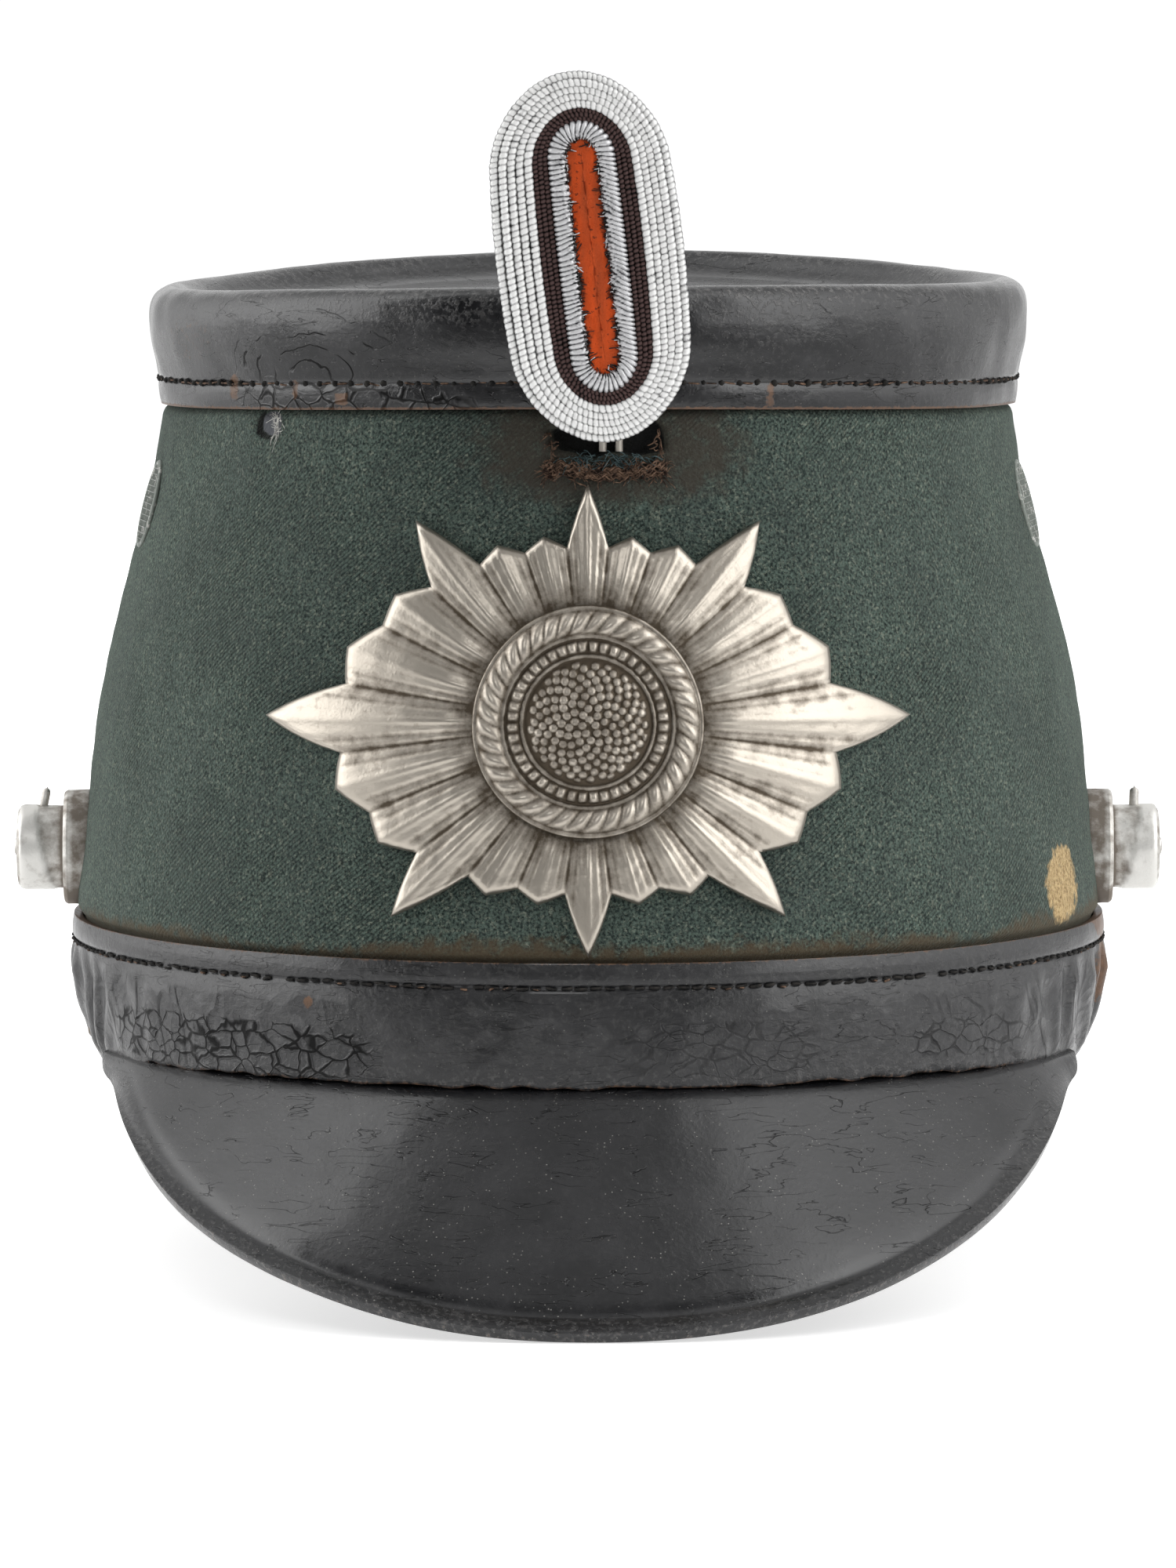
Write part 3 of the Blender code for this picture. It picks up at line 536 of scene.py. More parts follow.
CROWN_LEATHER = leather_finish("crown_leather", (0.20, 0.36), dust=0.3,
                               rings_at=(-41.5 * MM, -60.0 * MM, 149.0 * MM))
BAND_LEATHER = leather_finish("band_leather", (0.32, 0.50), dust=0.4, wrinkles=0.30 * MM, hairs=0.4,
                              creases=0.45 * MM)
PEAK_LEATHER = leather_finish("peak_leather", (0.20, 0.34), dust=0.9, wrinkles=0.05 * MM, hairs=0.5)
print("leathers:", CROWN_LEATHER.name, BAND_LEATHER.name, PEAK_LEATHER.name)

# %% [markdown]
# ## Old nickel, wire cord and thread
#
# The front plate and the posts are nickel-silver: bright where it was polished, grey-brown in the hollows
# where the polish stayed. The painted height of the relief drives that. The cockade's cords are pale wire
# thread, whose grooves are painted dark as the shade between strands, and sewing thread is dull and uneven
# in colour.

# %% Metal, cord and thread finishes


def nickel_finish(name, bright, dull, gloss=(0.62, 0.40)):
    """Metal that is bright on its ridges and stained in its hollows."""
    metal = Finish(name, Metallic=1.0)
    cloud = metal.noise(2.5 * MM, 5.0, roughness=0.65)
    high = metal.sum(metal.painted("height"), metal.spread(cloud, 0.3, 0.7, -0.22, 0.22))
    colour = metal.mix(metal.spread(high, 0.25, 0.8), dull, bright)
    gloss = metal.spread(high, 0.2, 0.85, *gloss)
    bump = metal.bump(metal.noise(0.5 * MM, 4.0), 0.04 * MM)
    return metal.finish(Base_Color=colour, Roughness=gloss, Normal=bump)


def cord_finish(name, groove, crest, metallic, roughness=0.5, specular=0.4):
    """Twisted cord: painted dark in its grooves as their shade, and light on its crests, with a few grimy
    places.
    """
    cord = Finish(name, Roughness=roughness, Metallic=metallic, Specular_IOR_Level=specular)
    fibres = cord.noise(0.25 * MM, 2.0)
    high = cord.sum(cord.painted("height"), cord.spread(fibres, 0.3, 0.7, -0.12, 0.12))
    high = cord.sum(high, cord.spread(cord.noise(2.5 * MM, 4.0), 0.55, 0.75, 0.0, -0.35))
    colour = cord.mix(cord.spread(high, 0.05, 0.80), groove, crest)
    return cord.finish(Base_Color=colour, Normal=cord.bump(fibres, 0.05 * MM))


def thread_finish(name, dark, pale):
    """Thin matt thread, uneven in colour."""
    thread = Finish(name, Roughness=0.85, Specular_IOR_Level=0.2)
    return thread.finish(Base_Color=thread.mix(thread.spread(thread.noise(1 * MM), 0.38, 0.68), dark, pale))


NICKEL = nickel_finish("old_nickel", (0.44, 0.40, 0.345), (0.085, 0.068, 0.050))
POST_METAL = nickel_finish("post_metal", (0.72, 0.71, 0.68), (0.24, 0.21, 0.18), gloss=(0.68, 0.50))
# Groove colours are painted shade, darkest between strands, turns and rows.
PALE_CORD = cord_finish("pale_cord", (0.035, 0.035, 0.038), (0.80, 0.80, 0.79), 0.15)
BULLION = cord_finish("bullion_wire", (0.018, 0.018, 0.022), (0.60, 0.60, 0.61), 0.45, 0.38)
# The dark cord's crest colour is a painted highlight on its beads, and its groove colour painted shade.
DARK_CORD = cord_finish("dark_cord", (0.0016, 0.001, 0.001), (0.082, 0.050, 0.047), 0.0, 0.6, 0.10)
BROWN_THREAD = thread_finish("brown_thread", (0.018, 0.010, 0.007), (0.17, 0.105, 0.070))
BLACK_THREAD = thread_finish("black_thread", (0.006, 0.006, 0.006), (0.03, 0.027, 0.024))
PALE_THREAD = thread_finish("pale_thread", (0.30, 0.30, 0.28), (0.62, 0.61, 0.57))
GREEN_THREAD = thread_finish("green_thread", (0.020, 0.036, 0.038), (0.085, 0.125, 0.13))
print("finishes:", len(bpy.data.materials))

# %% [markdown]
# ## The cloth body
#
# The cloth is stretched over a stiff shell and tucked behind the band and under the crown. It could be a
# simulated sleeve, but on a stiff former there is nothing left to drape, so it is a surface of the face's
# own formula with a little unevenness. Its columns crowd together at the front, where the cockade's pocket
# is cut: a narrow slit that the surface sinks into, painted near black as the shade inside it.

# %% Cloth surface
POCKET_X = 3.4 * MM
POCKET_Z = 139.4 * MM
POCKET_HALF_WIDTH = 9.2 * MM
POCKET_HALF_HEIGHT = 2.4 * MM
STAIN_TURN = math.radians(66.3)
STAIN_HEIGHT = 64.0 * MM
HOLE_TURN = math.radians(-46.8)
HOLE_HEIGHT = 139.7 * MM


def cloth_turns(count, focus):
    """Turns that crowd together at the front: t + focus * sin(t), less where focus is negative."""
    even = turns(count)
    return even - focus * np.sin(even)


def near(points, centre, half_size, power=2.0):
    """1 at a centre, falling to 0 at half_size from it along each axis, as an oval with soft edges."""
    distance = (np.abs((points - centre) / half_size) ** power).sum(axis=-1)
    return np.clip(1.5 - distance, 0.0, 1.0)


# Rows from the tuck behind the band to the tuck under the crown: height above the band's top or the seam,
# and way out, in millimetres
CLOTH_FOOT = ((-3.4, -1.35), (-0.6, -1.3), (0.4, -0.75), (1.2, -0.15), (2.2, 0.0))
CLOTH_HEAD = ((-1.4, 0.0), (-0.5, -0.25), (0.3, -0.9), (1.2, -1.25), (7.0, -1.3))
CLOSER_ABOVE = 128 * MM


def cloth_rows():
    """Heights and outs of every row of the cloth, closer together near the pocket."""
    foot = smooth_curve(CLOTH_FOOT, 12) * MM + (BAND_TOP, 0.0)
    head = smooth_curve(CLOTH_HEAD, 12) * MM + (SEAM, 0.0)
    lower = np.linspace(foot[-1, 0], CLOSER_ABOVE, 56)[1:]
    upper = np.linspace(CLOSER_ABOVE, head[0, 0], 32)[1:-1]
    wall = np.concatenate((lower, upper))
    return np.vstack((foot, np.stack((wall, np.zeros_like(wall)), -1), head))


def build_cloth():
    """The cloth sleeve: the face's formula, waves of 0.2 mm, a soft dip where the pocket is cut, and
    painted numbers for dirt, stain and wear, and for painted shade in the slit and at the hole's edge."""
    rows = cloth_rows()
    turn = cloth_turns(420, 0.62)[None, :]
    points = hat(turn, rows[:, :1], rows[:, 1:])
    out = 0.22 * MM * waves(points, 26 * MM, 3) + 0.07 * MM * waves(points, 5 * MM, 4)
    free = np.clip((rows[:, :1] - BAND_TOP) / (4 * MM), 0, 1) * np.clip((SEAM - rows[:, :1]) / (4 * MM), 0, 1)
    wavy = points + 0.8 * MM * np.stack([waves(points, 4 * MM, seed) for seed in (5, 6, 7)], -1)
    front = wavy[..., 1] < 0
    middle = np.array((POCKET_X, points[:, :, 1].min(), POCKET_Z))
    slit = near(wavy, middle, np.array((POCKET_HALF_WIDTH, 30 * MM, POCKET_HALF_HEIGHT)), 4.0) * front
    hole_middle = hat(HOLE_TURN, HOLE_HEIGHT)
    hole = near(points, hole_middle, np.array((2.4, 4.0, 2.3)) * MM, 2.6)
    bare = near(points, hole_middle + (0.55 * MM, 0, 0.1 * MM), np.array((2.1, 4.0, 2.0)) * MM, 2.6)
    moved = hat(turn, rows[:, :1], rows[:, 1:] + out * free - (slit * 1.1 + hole * 0.7) * MM)
    cloth = skin("cloth_cover", moved, node="body", slot="cloth")
    lay_map(cloth, moved)
    # Painted shade: the pocket's slit, and a crescent at the worn hole's left edge, where shadow falls.
    paint(cloth, "hollow_shade", np.maximum(slit, np.clip(hole - bare, 0, 1) * 1.4))
    paint(cloth, "worn", bare)
    above_band = points[..., 2] - BAND_TOP - 0.3 * MM
    paint(cloth, "dirt", 1.0 - above_band / (4.2 * MM) + 0.3 * waves(points, 30 * MM, 8))
    grime = near(points, middle - (0, 0, 1.5 * MM), np.array((22.0, 60.0, 9.0)) * MM, 2.5) * front
    paint(cloth, "grime", grime * 0.9)
    paint(cloth, "stain", near(points, hat(STAIN_TURN, STAIN_HEIGHT), np.array((3.9, 12.0, 6.6)) * MM))
    give_wall(cloth, 1.1 * MM)
    cloth.data.materials.append(CLOTH)
    return cloth


cloth = build_cloth()
print("cloth points:", len(cloth.data.vertices))

# %% [markdown]
# ## The shell inside
#
# Under the cloth is a stiff shell of pressed fibre. Only its inside and its lower edge show, from below.
# It steps in at the hem where the peaks' flanges lie between it and the band, so the step is a smooth
# function of the turn that is 1 over each peak and 0 between them.

# %% Shell
FRONT_SPAN = math.radians(64.4)
REAR_SPAN = math.radians(58.0)
STEP_FOOT, STEP_TOP = 46 * MM, 48.5 * MM


def over_peaks(turn):
    """1 over a peak and 0 between the peaks, with a border of a few degrees eased by a cosine."""
    border = math.radians(9.0)
    turn = np.abs(turn)
    front = np.clip((FRONT_SPAN + border - turn) / border, 0, 1)
    rear = np.clip((turn - math.pi + REAR_SPAN + border) / border, 0, 1)
    return 0.5 - 0.5 * np.cos(math.pi * np.maximum(front, rear))


def shell_finish():
    """Grey-brown pressed fibre with a faint felt texture."""
    shell = Finish("pressed_fibre", Roughness=0.9)
    colour = shell.spread(shell.noise(5 * MM, 5.0), 0.35, 0.65)
    colour = shell.mix(colour, (0.055, 0.042, 0.030), (0.12, 0.095, 0.070))
    return shell.finish(Base_Color=colour, Normal=shell.bump(shell.noise(0.8 * MM, 4.0), 0.15 * MM))


def build_shell():
    """A wall between the head and the cloth, stepped in over the peaks' flanges."""
    turn = turns(240)[None, :]
    height = np.concatenate((np.linspace(HEM, STEP_FOOT, 8), np.linspace(STEP_TOP, 152 * MM, 40)))[:, None]
    step = np.interp(height, (STEP_FOOT, STEP_TOP), (1.0, 0.0))
    out = -1.7 * MM - 2.4 * MM * step * over_peaks(turn) - 0.95 * MM * (1 - step)
    shell = skin("fibre_shell", hat(turn, height, out), node="body", slot="cloth")
    give_wall(shell, 1.7 * MM)
    shell.data.materials.append(shell_finish())
    return shell


shell = build_shell()
print("shell points:", len(shell.data.vertices))

# %% [markdown]
# ## The moulded crown
#
# The crown is one piece of leather, blocked wet over a form: a skirt sewn over the cloth, a bulge, a
# rounded rim, and a sunk top. A turned shape would do for a round hat; here one section is carried round
# the oval, which is the same idea with the face's formula in place of a circle. The rim is dented a little.

# %% Crown
# Out from the cloth and height above the seam, in millimetres
CROWN_SECTION = (
    (0.70, 0.6), (0.95, 2.0), (1.02, 4.0), (0.76, 4.8), (1.08, 5.6), (1.50, 7.8), (2.15, 10.6), (2.45, 13.8),
    (2.35, 16.4), (1.75, 18.2), (0.75, 19.3), (-0.6, 19.95), (-1.9, 19.85), (-3.3, 19.0), (-5.2, 17.4),
    (-7.2, 16.2), (-8.9, 15.6),
)
# Worn places at the front, in millimetres: way across and half width of the scuffs under the rim, and for
# chips at the lower edge way across, height above the seam, half width and half height
CROWN_SCUFFS = ((-29.0, 17.0), (24.0, 7.0))
CROWN_CHIPS = ((-57.5, 2.8, 0.8, 2.3), (-47.3, 3.0, 0.7, 1.6), (-40.0, 1.7, 1.2, 1.1), (29.5, 2.6, 0.4, 2.0))


def build_crown():
    """The section carried round the oval, then drawn in to a sunk middle. One side stands a little higher."""
    turn = turns(360)[None, :]
    section = smooth_curve(CROWN_SECTION, 64) * MM
    rim = hat(turn, SEAM + section[:, 1:], section[:, :1])
    shrink = np.linspace(1.0, 0.03, 16)[1:, None]
    disc = hat(turn, SEAM + section[-1, 1], section[-1, 0], shrink)
    points = np.concatenate((rim, disc))
    raised = np.clip((points[..., 2] - SEAM - 6 * MM) / (12 * MM), 0, 1)
    points[..., 2] += 1.2 * MM * (np.clip(points[..., 0] / (70 * MM), 0, 1) * raised)
    dents = 0.30 * MM * waves(points, 30 * MM, 11) + 0.10 * MM * waves(points, 7 * MM, 12)
    outward = unit(points - (0, OVAL_Y, SEAM + 2 * MM))
    points = points + dents[..., None] * outward
    crown = skin("crown_leather_top", points, end=points[-1].mean(axis=0), node="crown", slot="leather")
    rubbed = np.exp(-(((np.arange(len(points)) - 42) / 9.0) ** 2))[:, None] + 0.12
    rubbed = rubbed * (0.75 + 0.5 * waves(points, 20 * MM, 13))
    front_y = points[:, :, 1].min()
    in_front = points[..., 1] < 0
    for across, wide in CROWN_SCUFFS:
        here = np.array((across * MM, front_y, SEAM + 18.5 * MM))
        scuff = near(points, here, np.array((wide, 60.0, 3.0)) * MM)
        rubbed = np.maximum(rubbed, 0.42 * scuff * in_front)
    paint(crown, "rubbed", rubbed)
    raw = np.clip(1.0 - np.arange(len(points)) / 2.2, 0, 1)[:, None] * np.ones_like(rubbed)
    for across, high, wide, tall in CROWN_CHIPS:
        here = np.array((across * MM, front_y, SEAM + CROWN_RISE + high * MM))
        chip = near(points, here, np.array((wide, 60.0, tall)) * MM, 4.0) * in_front
        raw = np.maximum(raw, 0.9 * chip)
    speckled = np.array((-65.4 * MM, front_y + 45 * MM, SEAM + 12.5 * MM))
    raw = np.maximum(raw, 0.32 * near(points, speckled, np.array((5.0, 60.0, 4.5)) * MM))
    paint(crown, "raw", raw)
    strips = near(points, hat(math.radians(-34), SEAM + 1.8 * MM), np.array((24, 30, 3.0)) * MM)
    paint(crown, "cracked", strips)
    give_wall(crown, 1.6 * MM, 0.35 * MM)
    crown.data.materials.append(CROWN_LEATHER)
    return crown


crown = build_crown()
print("crown points:", len(crown.data.vertices))

# %% [markdown]
# ## The base band
#
# The band is a strip of thinner leather, sewn near its top edge and turned under at the hem. It has gone
# slack at both sides, where it lies in upright folds. The folds are a sine of the turn, limited to the
# sides by a bell curve, and they fade towards the sewn edge.

# %% Base band
# Out from the cloth and height above the hem, in millimetres
BAND_SECTION = (
    (0.45, 0.0), (0.70, 0.4), (0.90, 1.5), (1.02, 4.5), (1.08, 9.0), (1.00, 13.0), (0.72, 15.2), (0.42, 16.0),
    (0.80, 16.8), (0.82, 18.4), (0.55, 20.0),
)


def side_share(turn, middle, width):
    """A bell curve at both sides of the cap: its middle and width are in degrees."""
    return np.exp(-(((np.abs(np.degrees(turn)) - middle) / width) ** 2))


def build_band():
    """The section carried round the base oval, with folds at the sides and waves all over. At the sides,
    between the peaks, its lower edge hangs 4 mm lower and curls inwards."""
    turn = turns(900)[None, :]
    section = smooth_curve(BAND_SECTION, 48) * MM
    level = section[:, 1:] / (BAND_TOP - HEM)
    height = HEM + section[:, 1:]
    points = hat(turn, height, section[:, :1])
    slack = np.clip(level / 0.10, 0, 1) * np.clip((0.80 - level) / 0.25, 0, 1)
    sway = 0.5 * waves(points, 16 * MM, 21)
    folds = np.sin(np.degrees(turn) * 1.2 + sway * 3.4 + level * 2.4 * np.sign(turn))
    folds = (np.abs(folds) ** 0.7 * np.sign(folds)) * side_share(turn, 84.0, 20.0)
    ripples = 0.30 * waves(points * (1, 1, 0.6), 9 * MM, 22) + 0.12 * waves(points, 4 * MM, 23)
    out = slack * MM * (0.85 * folds + ripples * (0.5 + side_share(turn, 84.0, 30.0)))
    foot = np.clip(1.0 - level / 0.50, 0.0, 1.0) ** 1.5
    dip = 4.0 * MM * side_share(turn, 90.0, 24.0) * foot
    slim = 0.9 * MM * side_share(turn, 90.0, 26.0) * np.clip((0.8 - level) / 0.3, 0, 1)
    curl = 4.2 * MM * side_share(turn, 92.0, 22.0) * foot + slim
    ragged = 0.30 * MM * waves(points, 5 * MM, 24) * np.clip(1 - level / 0.1, 0, 1)
    points = hat(turn, height + ragged, section[:, :1] + out - curl)
    points[..., 2] -= dip
    band = skin("band_leather_strip", points, node="base_band", slot="leather")
    left = near(points, hat(math.radians(-43), HEM + 4.5 * MM), np.array((24, 34, 4.3)) * MM, 4.0)
    middle = near(points, hat(math.radians(14), HEM + 6 * MM), np.array((18, 30, 5)) * MM, 4.0)
    right = near(points, hat(math.radians(46), HEM + 5.5 * MM), np.array((16, 30, 4)) * MM)
    paint(band, "cracked", left + 0.36 * middle + 0.42 * right)
    paint(band, "rubbed", 0.18 + 0.5 * np.clip(1 - level / 0.14, 0, 1) + 0.3 * np.clip(folds, 0, 1))
    paint(band, "creased", np.clip((0.72 - level) / 0.1, 0, 1) * side_share(turn, 62.0, 24.0))
    worn = near(points, hat(math.radians(82), HEM + 12 * MM), np.array((5, 5.5, 7)) * MM)
    worn = np.maximum(worn, near(points, hat(math.radians(81), BAND_TOP), np.array((6, 9, 3.5)) * MM))
    scuff = near(points, hat(math.radians(-31.5), HEM + 12.6 * MM), np.array((1.0, 2, 1.1)) * MM)
    edge = np.clip(1 - level / 0.05, 0, 1) * 0.55 + np.clip((level - 0.97) / 0.03, 0, 1) * 0.6
    paint(band, "raw", 0.95 * worn + scuff + edge * np.ones_like(out))
    give_wall(band, 1.5 * MM, 0.3 * MM)
    band.data.materials.append(BAND_LEATHER)
    return band


band = build_band()
print("band points:", len(band.data.vertices))

# %% [markdown]
# ## The peaks
#
# Each peak is one blocked piece of leather: a flange sewn behind the band, then a brim that falls and
# reaches outwards to a slightly raised lip. Across the peak, reach and drop shrink towards the corners as
# powers of one minus the share of the half span. The solids use the same rule with fewer columns.

# %% Peaks
# Shares of a peak's own reach and drop, from the hem to the lip
PEAK_SECTION = (
    (0.00, 0.000), (0.15, 0.152), (0.35, 0.352), (0.56, 0.562), (0.75, 0.757), (0.84, 0.862), (0.90, 0.930),
    (1.00, 1.000),
)
FLANGE_OUT = -1.7 * MM
PEAK_WALL = 1.8 * MM


def build_peak(name, node, middle, span, reach, corner, shape, seed, lifted=0.0, wider=0.0):
    """Flange, brim and lip. corner is the (reach, drop) at the ends, and shape holds the flatness of the
    middle and the powers for reach and drop. The lip is lifted a little at one place, and one side is
    wider. Past the span, the corner is rounded off: the drop follows a quarter of an ellipse."""
    flatness, reach_power, drop_power = shape
    rounding = math.radians(4.0)
    way = np.linspace(-1.0, 1.0, 221)
    way = (way + 0.16 * np.sin(math.pi * way))[None, :]
    turned = way * (span + rounding)
    share = np.clip(np.abs(turned) / span, 0.0, 1.0)
    swell = 1.0 - share**flatness
    last = np.clip((np.abs(turned) - span + 0.6 * rounding) / (1.6 * rounding), 0.0, 0.995)
    ease = np.sqrt(1.0 - last**2)
    own_reach = (corner[0] + (reach - corner[0]) * swell**reach_power) * (0.55 + 0.45 * ease)
    own_reach = own_reach + wider * np.clip(turned / span, 0, 1) ** 2 * ease
    own_drop = (corner[1] + (HEM - 1.4 * MM - corner[1]) * swell**drop_power) * ease
    own_drop = own_drop - lifted * np.exp(-(((np.degrees(turned) + 21.0) / 11.0) ** 2))
    section = smooth_curve(PEAK_SECTION, 64)[::-1]
    turn = middle + turned
    from_lip = (1.0 - section[:, :1]) * np.hypot(own_reach, own_drop)
    groove = -0.45 * MM * np.exp(-(((from_lip - 4.6 * MM) / (1.5 * MM)) ** 2))
    groove = groove * np.clip(own_drop / (14 * MM), 0, 1)
    fall = own_drop * section[:, 1:]
    swelling = 2.5 * MM * (1 - np.exp(-fall / (0.45 * MM))) * (1 - section[:, :1])
    points = hat(turn, HEM, FLANGE_OUT + swelling + own_reach * section[:, :1])
    points[..., 2] -= fall
    flange = hat(turn, HEM + np.array((2.5, 5.5, 8.8))[:, None] * MM, FLANGE_OUT)
    points = np.concatenate((points, flange))
    groove = np.concatenate((groove, np.zeros((3, groove.shape[1]))))
    from_lip = np.concatenate((from_lip, np.full((3, groove.shape[1]), 1.0)))
    outward = unit(points - (0, OVAL_Y, HEM - 30 * MM))
    free = np.clip(from_lip / (3 * MM), 0, 1) * np.concatenate((np.ones(64), np.zeros(3)))[:, None]
    wavy = 0.14 * MM * waves(points, 26 * MM, seed) + 0.04 * MM * waves(points, 6 * MM, seed + 1)
    points = points + (wavy * free + groove)[..., None] * outward
    peak = skin(name, points, wrap=False, node=node, slot="leather")
    strip = np.clip((4.2 * MM - from_lip) / (1.0 * MM), 0, 1)
    paint(peak, "rubbed", 0.30 * strip + np.clip(1.0 - from_lip / (0.9 * MM), 0, 1) * 0.4 + 0.06)
    paint(peak, "raw", np.clip(0.25 - from_lip / (1.2 * MM), 0, 1))
    give_wall(peak, PEAK_WALL, 0.75 * MM)
    peak.data.materials.append(PEAK_LEATHER)
    return peak


FRONT_REACH = OVAL_Y - corners("front_peak")[0][1] - BASE_REACH - FLANGE_OUT
REAR_REACH = corners("rear_peak")[1][1] - OVAL_Y - BASE_REACH - FLANGE_OUT
build_peak("front_peak_leather", "front_peak", 0.0, FRONT_SPAN, FRONT_REACH,
           (3.4 * MM, 4.6 * MM), (2.28, 1.44, 2.2), 31, lifted=0.8 * MM, wider=1.0 * MM)
build_peak("rear_peak_leather", "rear_peak", math.pi, REAR_SPAN, REAR_REACH,
           (2.2 * MM, 9.0 * MM), (4.0, 1.2, 1.0), 41)
print("front reach", round(FRONT_REACH / MM, 1), "mm, rear reach", round(REAR_REACH / MM, 1), "mm")

# %% [markdown]
# ## The cockade
#
# The cockade is an upright oval of cords sewn to a leather backing. From the edge inwards it has five rows
# of pale twisted cord, three of dark cord, a fat coil of bullion wire and a felt strip. Each row is an oval
# path, and a twisted cord is a tube whose radius changes with the angle round it and the way along it.

# %% Cockade frame and paths
CORE_FRONT = corners("cockade_core")[0][1]
COCKADE_HALF_WIDTH = 14.75 * MM
COCKADE_HALF_LENGTH = 29.5 * MM
COCKADE_LEAN = math.radians(6.5)
COCKADE_FOOT = (3.7 * MM, 139.5 * MM)


def oval_path(inset, count):
    """An upright oval with round ends, drawn in by inset: (count, 2) points at equal steps, from the
    right side's middle upwards. Straight runs and half circles are told apart by the way gone, and the
    width shrinks with the square of the height, so the sides are a little bowed. The rows lie closer
    at the ends than at the sides, and the inner ones sit a little to one side."""
    radius = COCKADE_HALF_WIDTH - inset
    straight = COCKADE_HALF_LENGTH - COCKADE_HALF_WIDTH
    whole = 4 * straight + 2 * math.pi * radius
    way = np.linspace(0.0, whole, count, endpoint=False)
    arc = math.pi * radius
    up = np.clip(way, 0, straight)
    top = np.clip(way - straight, 0, arc) / radius
    down = np.clip(way - straight - arc, 0, 2 * straight)
    bottom = np.clip(way - 3 * straight - arc, 0, arc) / radius
    last = np.clip(way - 3 * straight - 2 * arc, 0, straight)
    x = radius * np.cos(top + bottom)
    z = up - down + last + radius * np.sin(top + bottom)
    x = x * (1.015 - 0.17 * (z / COCKADE_HALF_LENGTH) ** 2) + 0.45 * MM * np.clip(inset / (6 * MM), 0, 1)
    z = z * (COCKADE_HALF_LENGTH - 0.86 * inset) / (COCKADE_HALF_LENGTH - inset)
    return np.stack((x, z), -1), whole


def on_cockade(flat, forward):
    """Places flat (x, z) points on the leaning cockade, forward of the front of its leather backing."""
    x, z = flat[..., 0], flat[..., 1] + COCKADE_HALF_LENGTH
    lean_x = x * math.cos(COCKADE_LEAN) - z * math.sin(COCKADE_LEAN) + COCKADE_FOOT[0]
    lean_z = x * math.sin(COCKADE_LEAN) + z * math.cos(COCKADE_LEAN) + COCKADE_FOOT[1]
    return np.stack((lean_x, CORE_FRONT - forward + 0 * x, lean_z), -1)


def front_angle(sides):
    """Angles round a cockade cord, as shares of pi from its front: 0 in front, 1 and -1 at the back."""
    angle = np.linspace(0.0, 2 * math.pi, sides, endpoint=False) - 1.5 * math.pi
    return (angle + math.pi) % (2 * math.pi) / math.pi - 1.0


def twisted_rows(name, rows, radius, bead, sides, slant, power, **place):
    """Twisted cords on oval paths. Each bead is a hump |cos| along the way, shifted by slant times the
    angle round the cord, and the painted height falls off to the cord's sides, where two cords meet: that
    fall-off is painted shade between the rows, and the dips between beads are painted shade too."""
    count = 1300
    round_cord = front_angle(sides)[None, :]
    # Painted shade: the cord's colour darkens towards its sides, where the next row shadows it.
    shade = np.clip((0.42 - np.abs(round_cord)) / 0.16, 0.0, 1.0)
    centres, radii, heights = [], [], []
    for number, (inset, forward) in enumerate(rows):
        flat, whole = oval_path(inset, count)
        beads = round(whole / bead)
        steps = np.arange(count)[:, None] / count
        whole_way = steps * 2 * math.pi
        drift = 0.8 * np.sin(whole_way * 5 + number) + 0.5 * np.sin(whole_way * 13 + number * 3)
        phase = math.pi * beads * steps + slant * math.pi * round_cord + number * 1.9 + drift
        relief = np.abs(np.cos(phase)) ** power
        uneven = 1 + 0.035 * np.sin(whole_way * 31 + number * 2) + 0.03 * np.sin(whole_way * 77)
        radii.append(radius * uneven * (0.80 + 0.20 * relief))
        heights.append(relief * shade)
        centres.append(on_cockade(flat, forward))
    cords = tubes(name, np.stack(centres), np.stack(radii), sides, reference=(0, 1, 0), closed=True, **place)
    paint(cords, "height", np.stack(heights))
    return cords


print("cockade front at y", round(CORE_FRONT / MM, 1), "mm")

# %% Cockade cords
PALE_PITCH = 1.32 * MM
DARK_PITCH = 0.88 * MM
pale_forward = [(0.70 - 0.35 * (n == 0) + 0.08 * math.sin(n * 1.9)) * MM for n in range(5)]
pale_rows = [((n + 0.5) * PALE_PITCH, forward) for n, forward in enumerate(pale_forward)]
pale_cords = twisted_rows("pale_cord_rows", pale_rows, 0.76 * MM, 0.98 * MM, 12, 0.5, 0.45,
                          node="cockade_pale_cord", slot="silver_cord")
pale_cords.data.materials.append(PALE_CORD)
dark_start = 5 * PALE_PITCH
dark_rows = [(dark_start + (n + 0.5) * DARK_PITCH, 0.72 * MM) for n in range(3)]
dark_cords = twisted_rows("dark_cord_rows", dark_rows, 0.50 * MM, 0.72 * MM, 10, 0.35, 1.3,
                          node="cockade_dark_cord", slot="dark_cord")
dark_cords.data.materials.append(DARK_CORD)
print("cord faces:", len(pale_cords.data.polygons) + len(dark_cords.data.polygons))

# %% [markdown]
# The bullion coil is a soft spring of fine wire, wound round a core and pressed flat. Winding every turn
# as its own wire would cost far more faces than it shows, so the coil is one fat oval tube, and its turns
# are ridges that lean as they pass over it. Random depth makes the old wire look pulled about.

# %% Cockade coil, felt and backing
COIL_INSET = dark_start + 3 * DARK_PITCH
COIL_WIDTH = 3.1 * MM
COIL_TURNS = 114


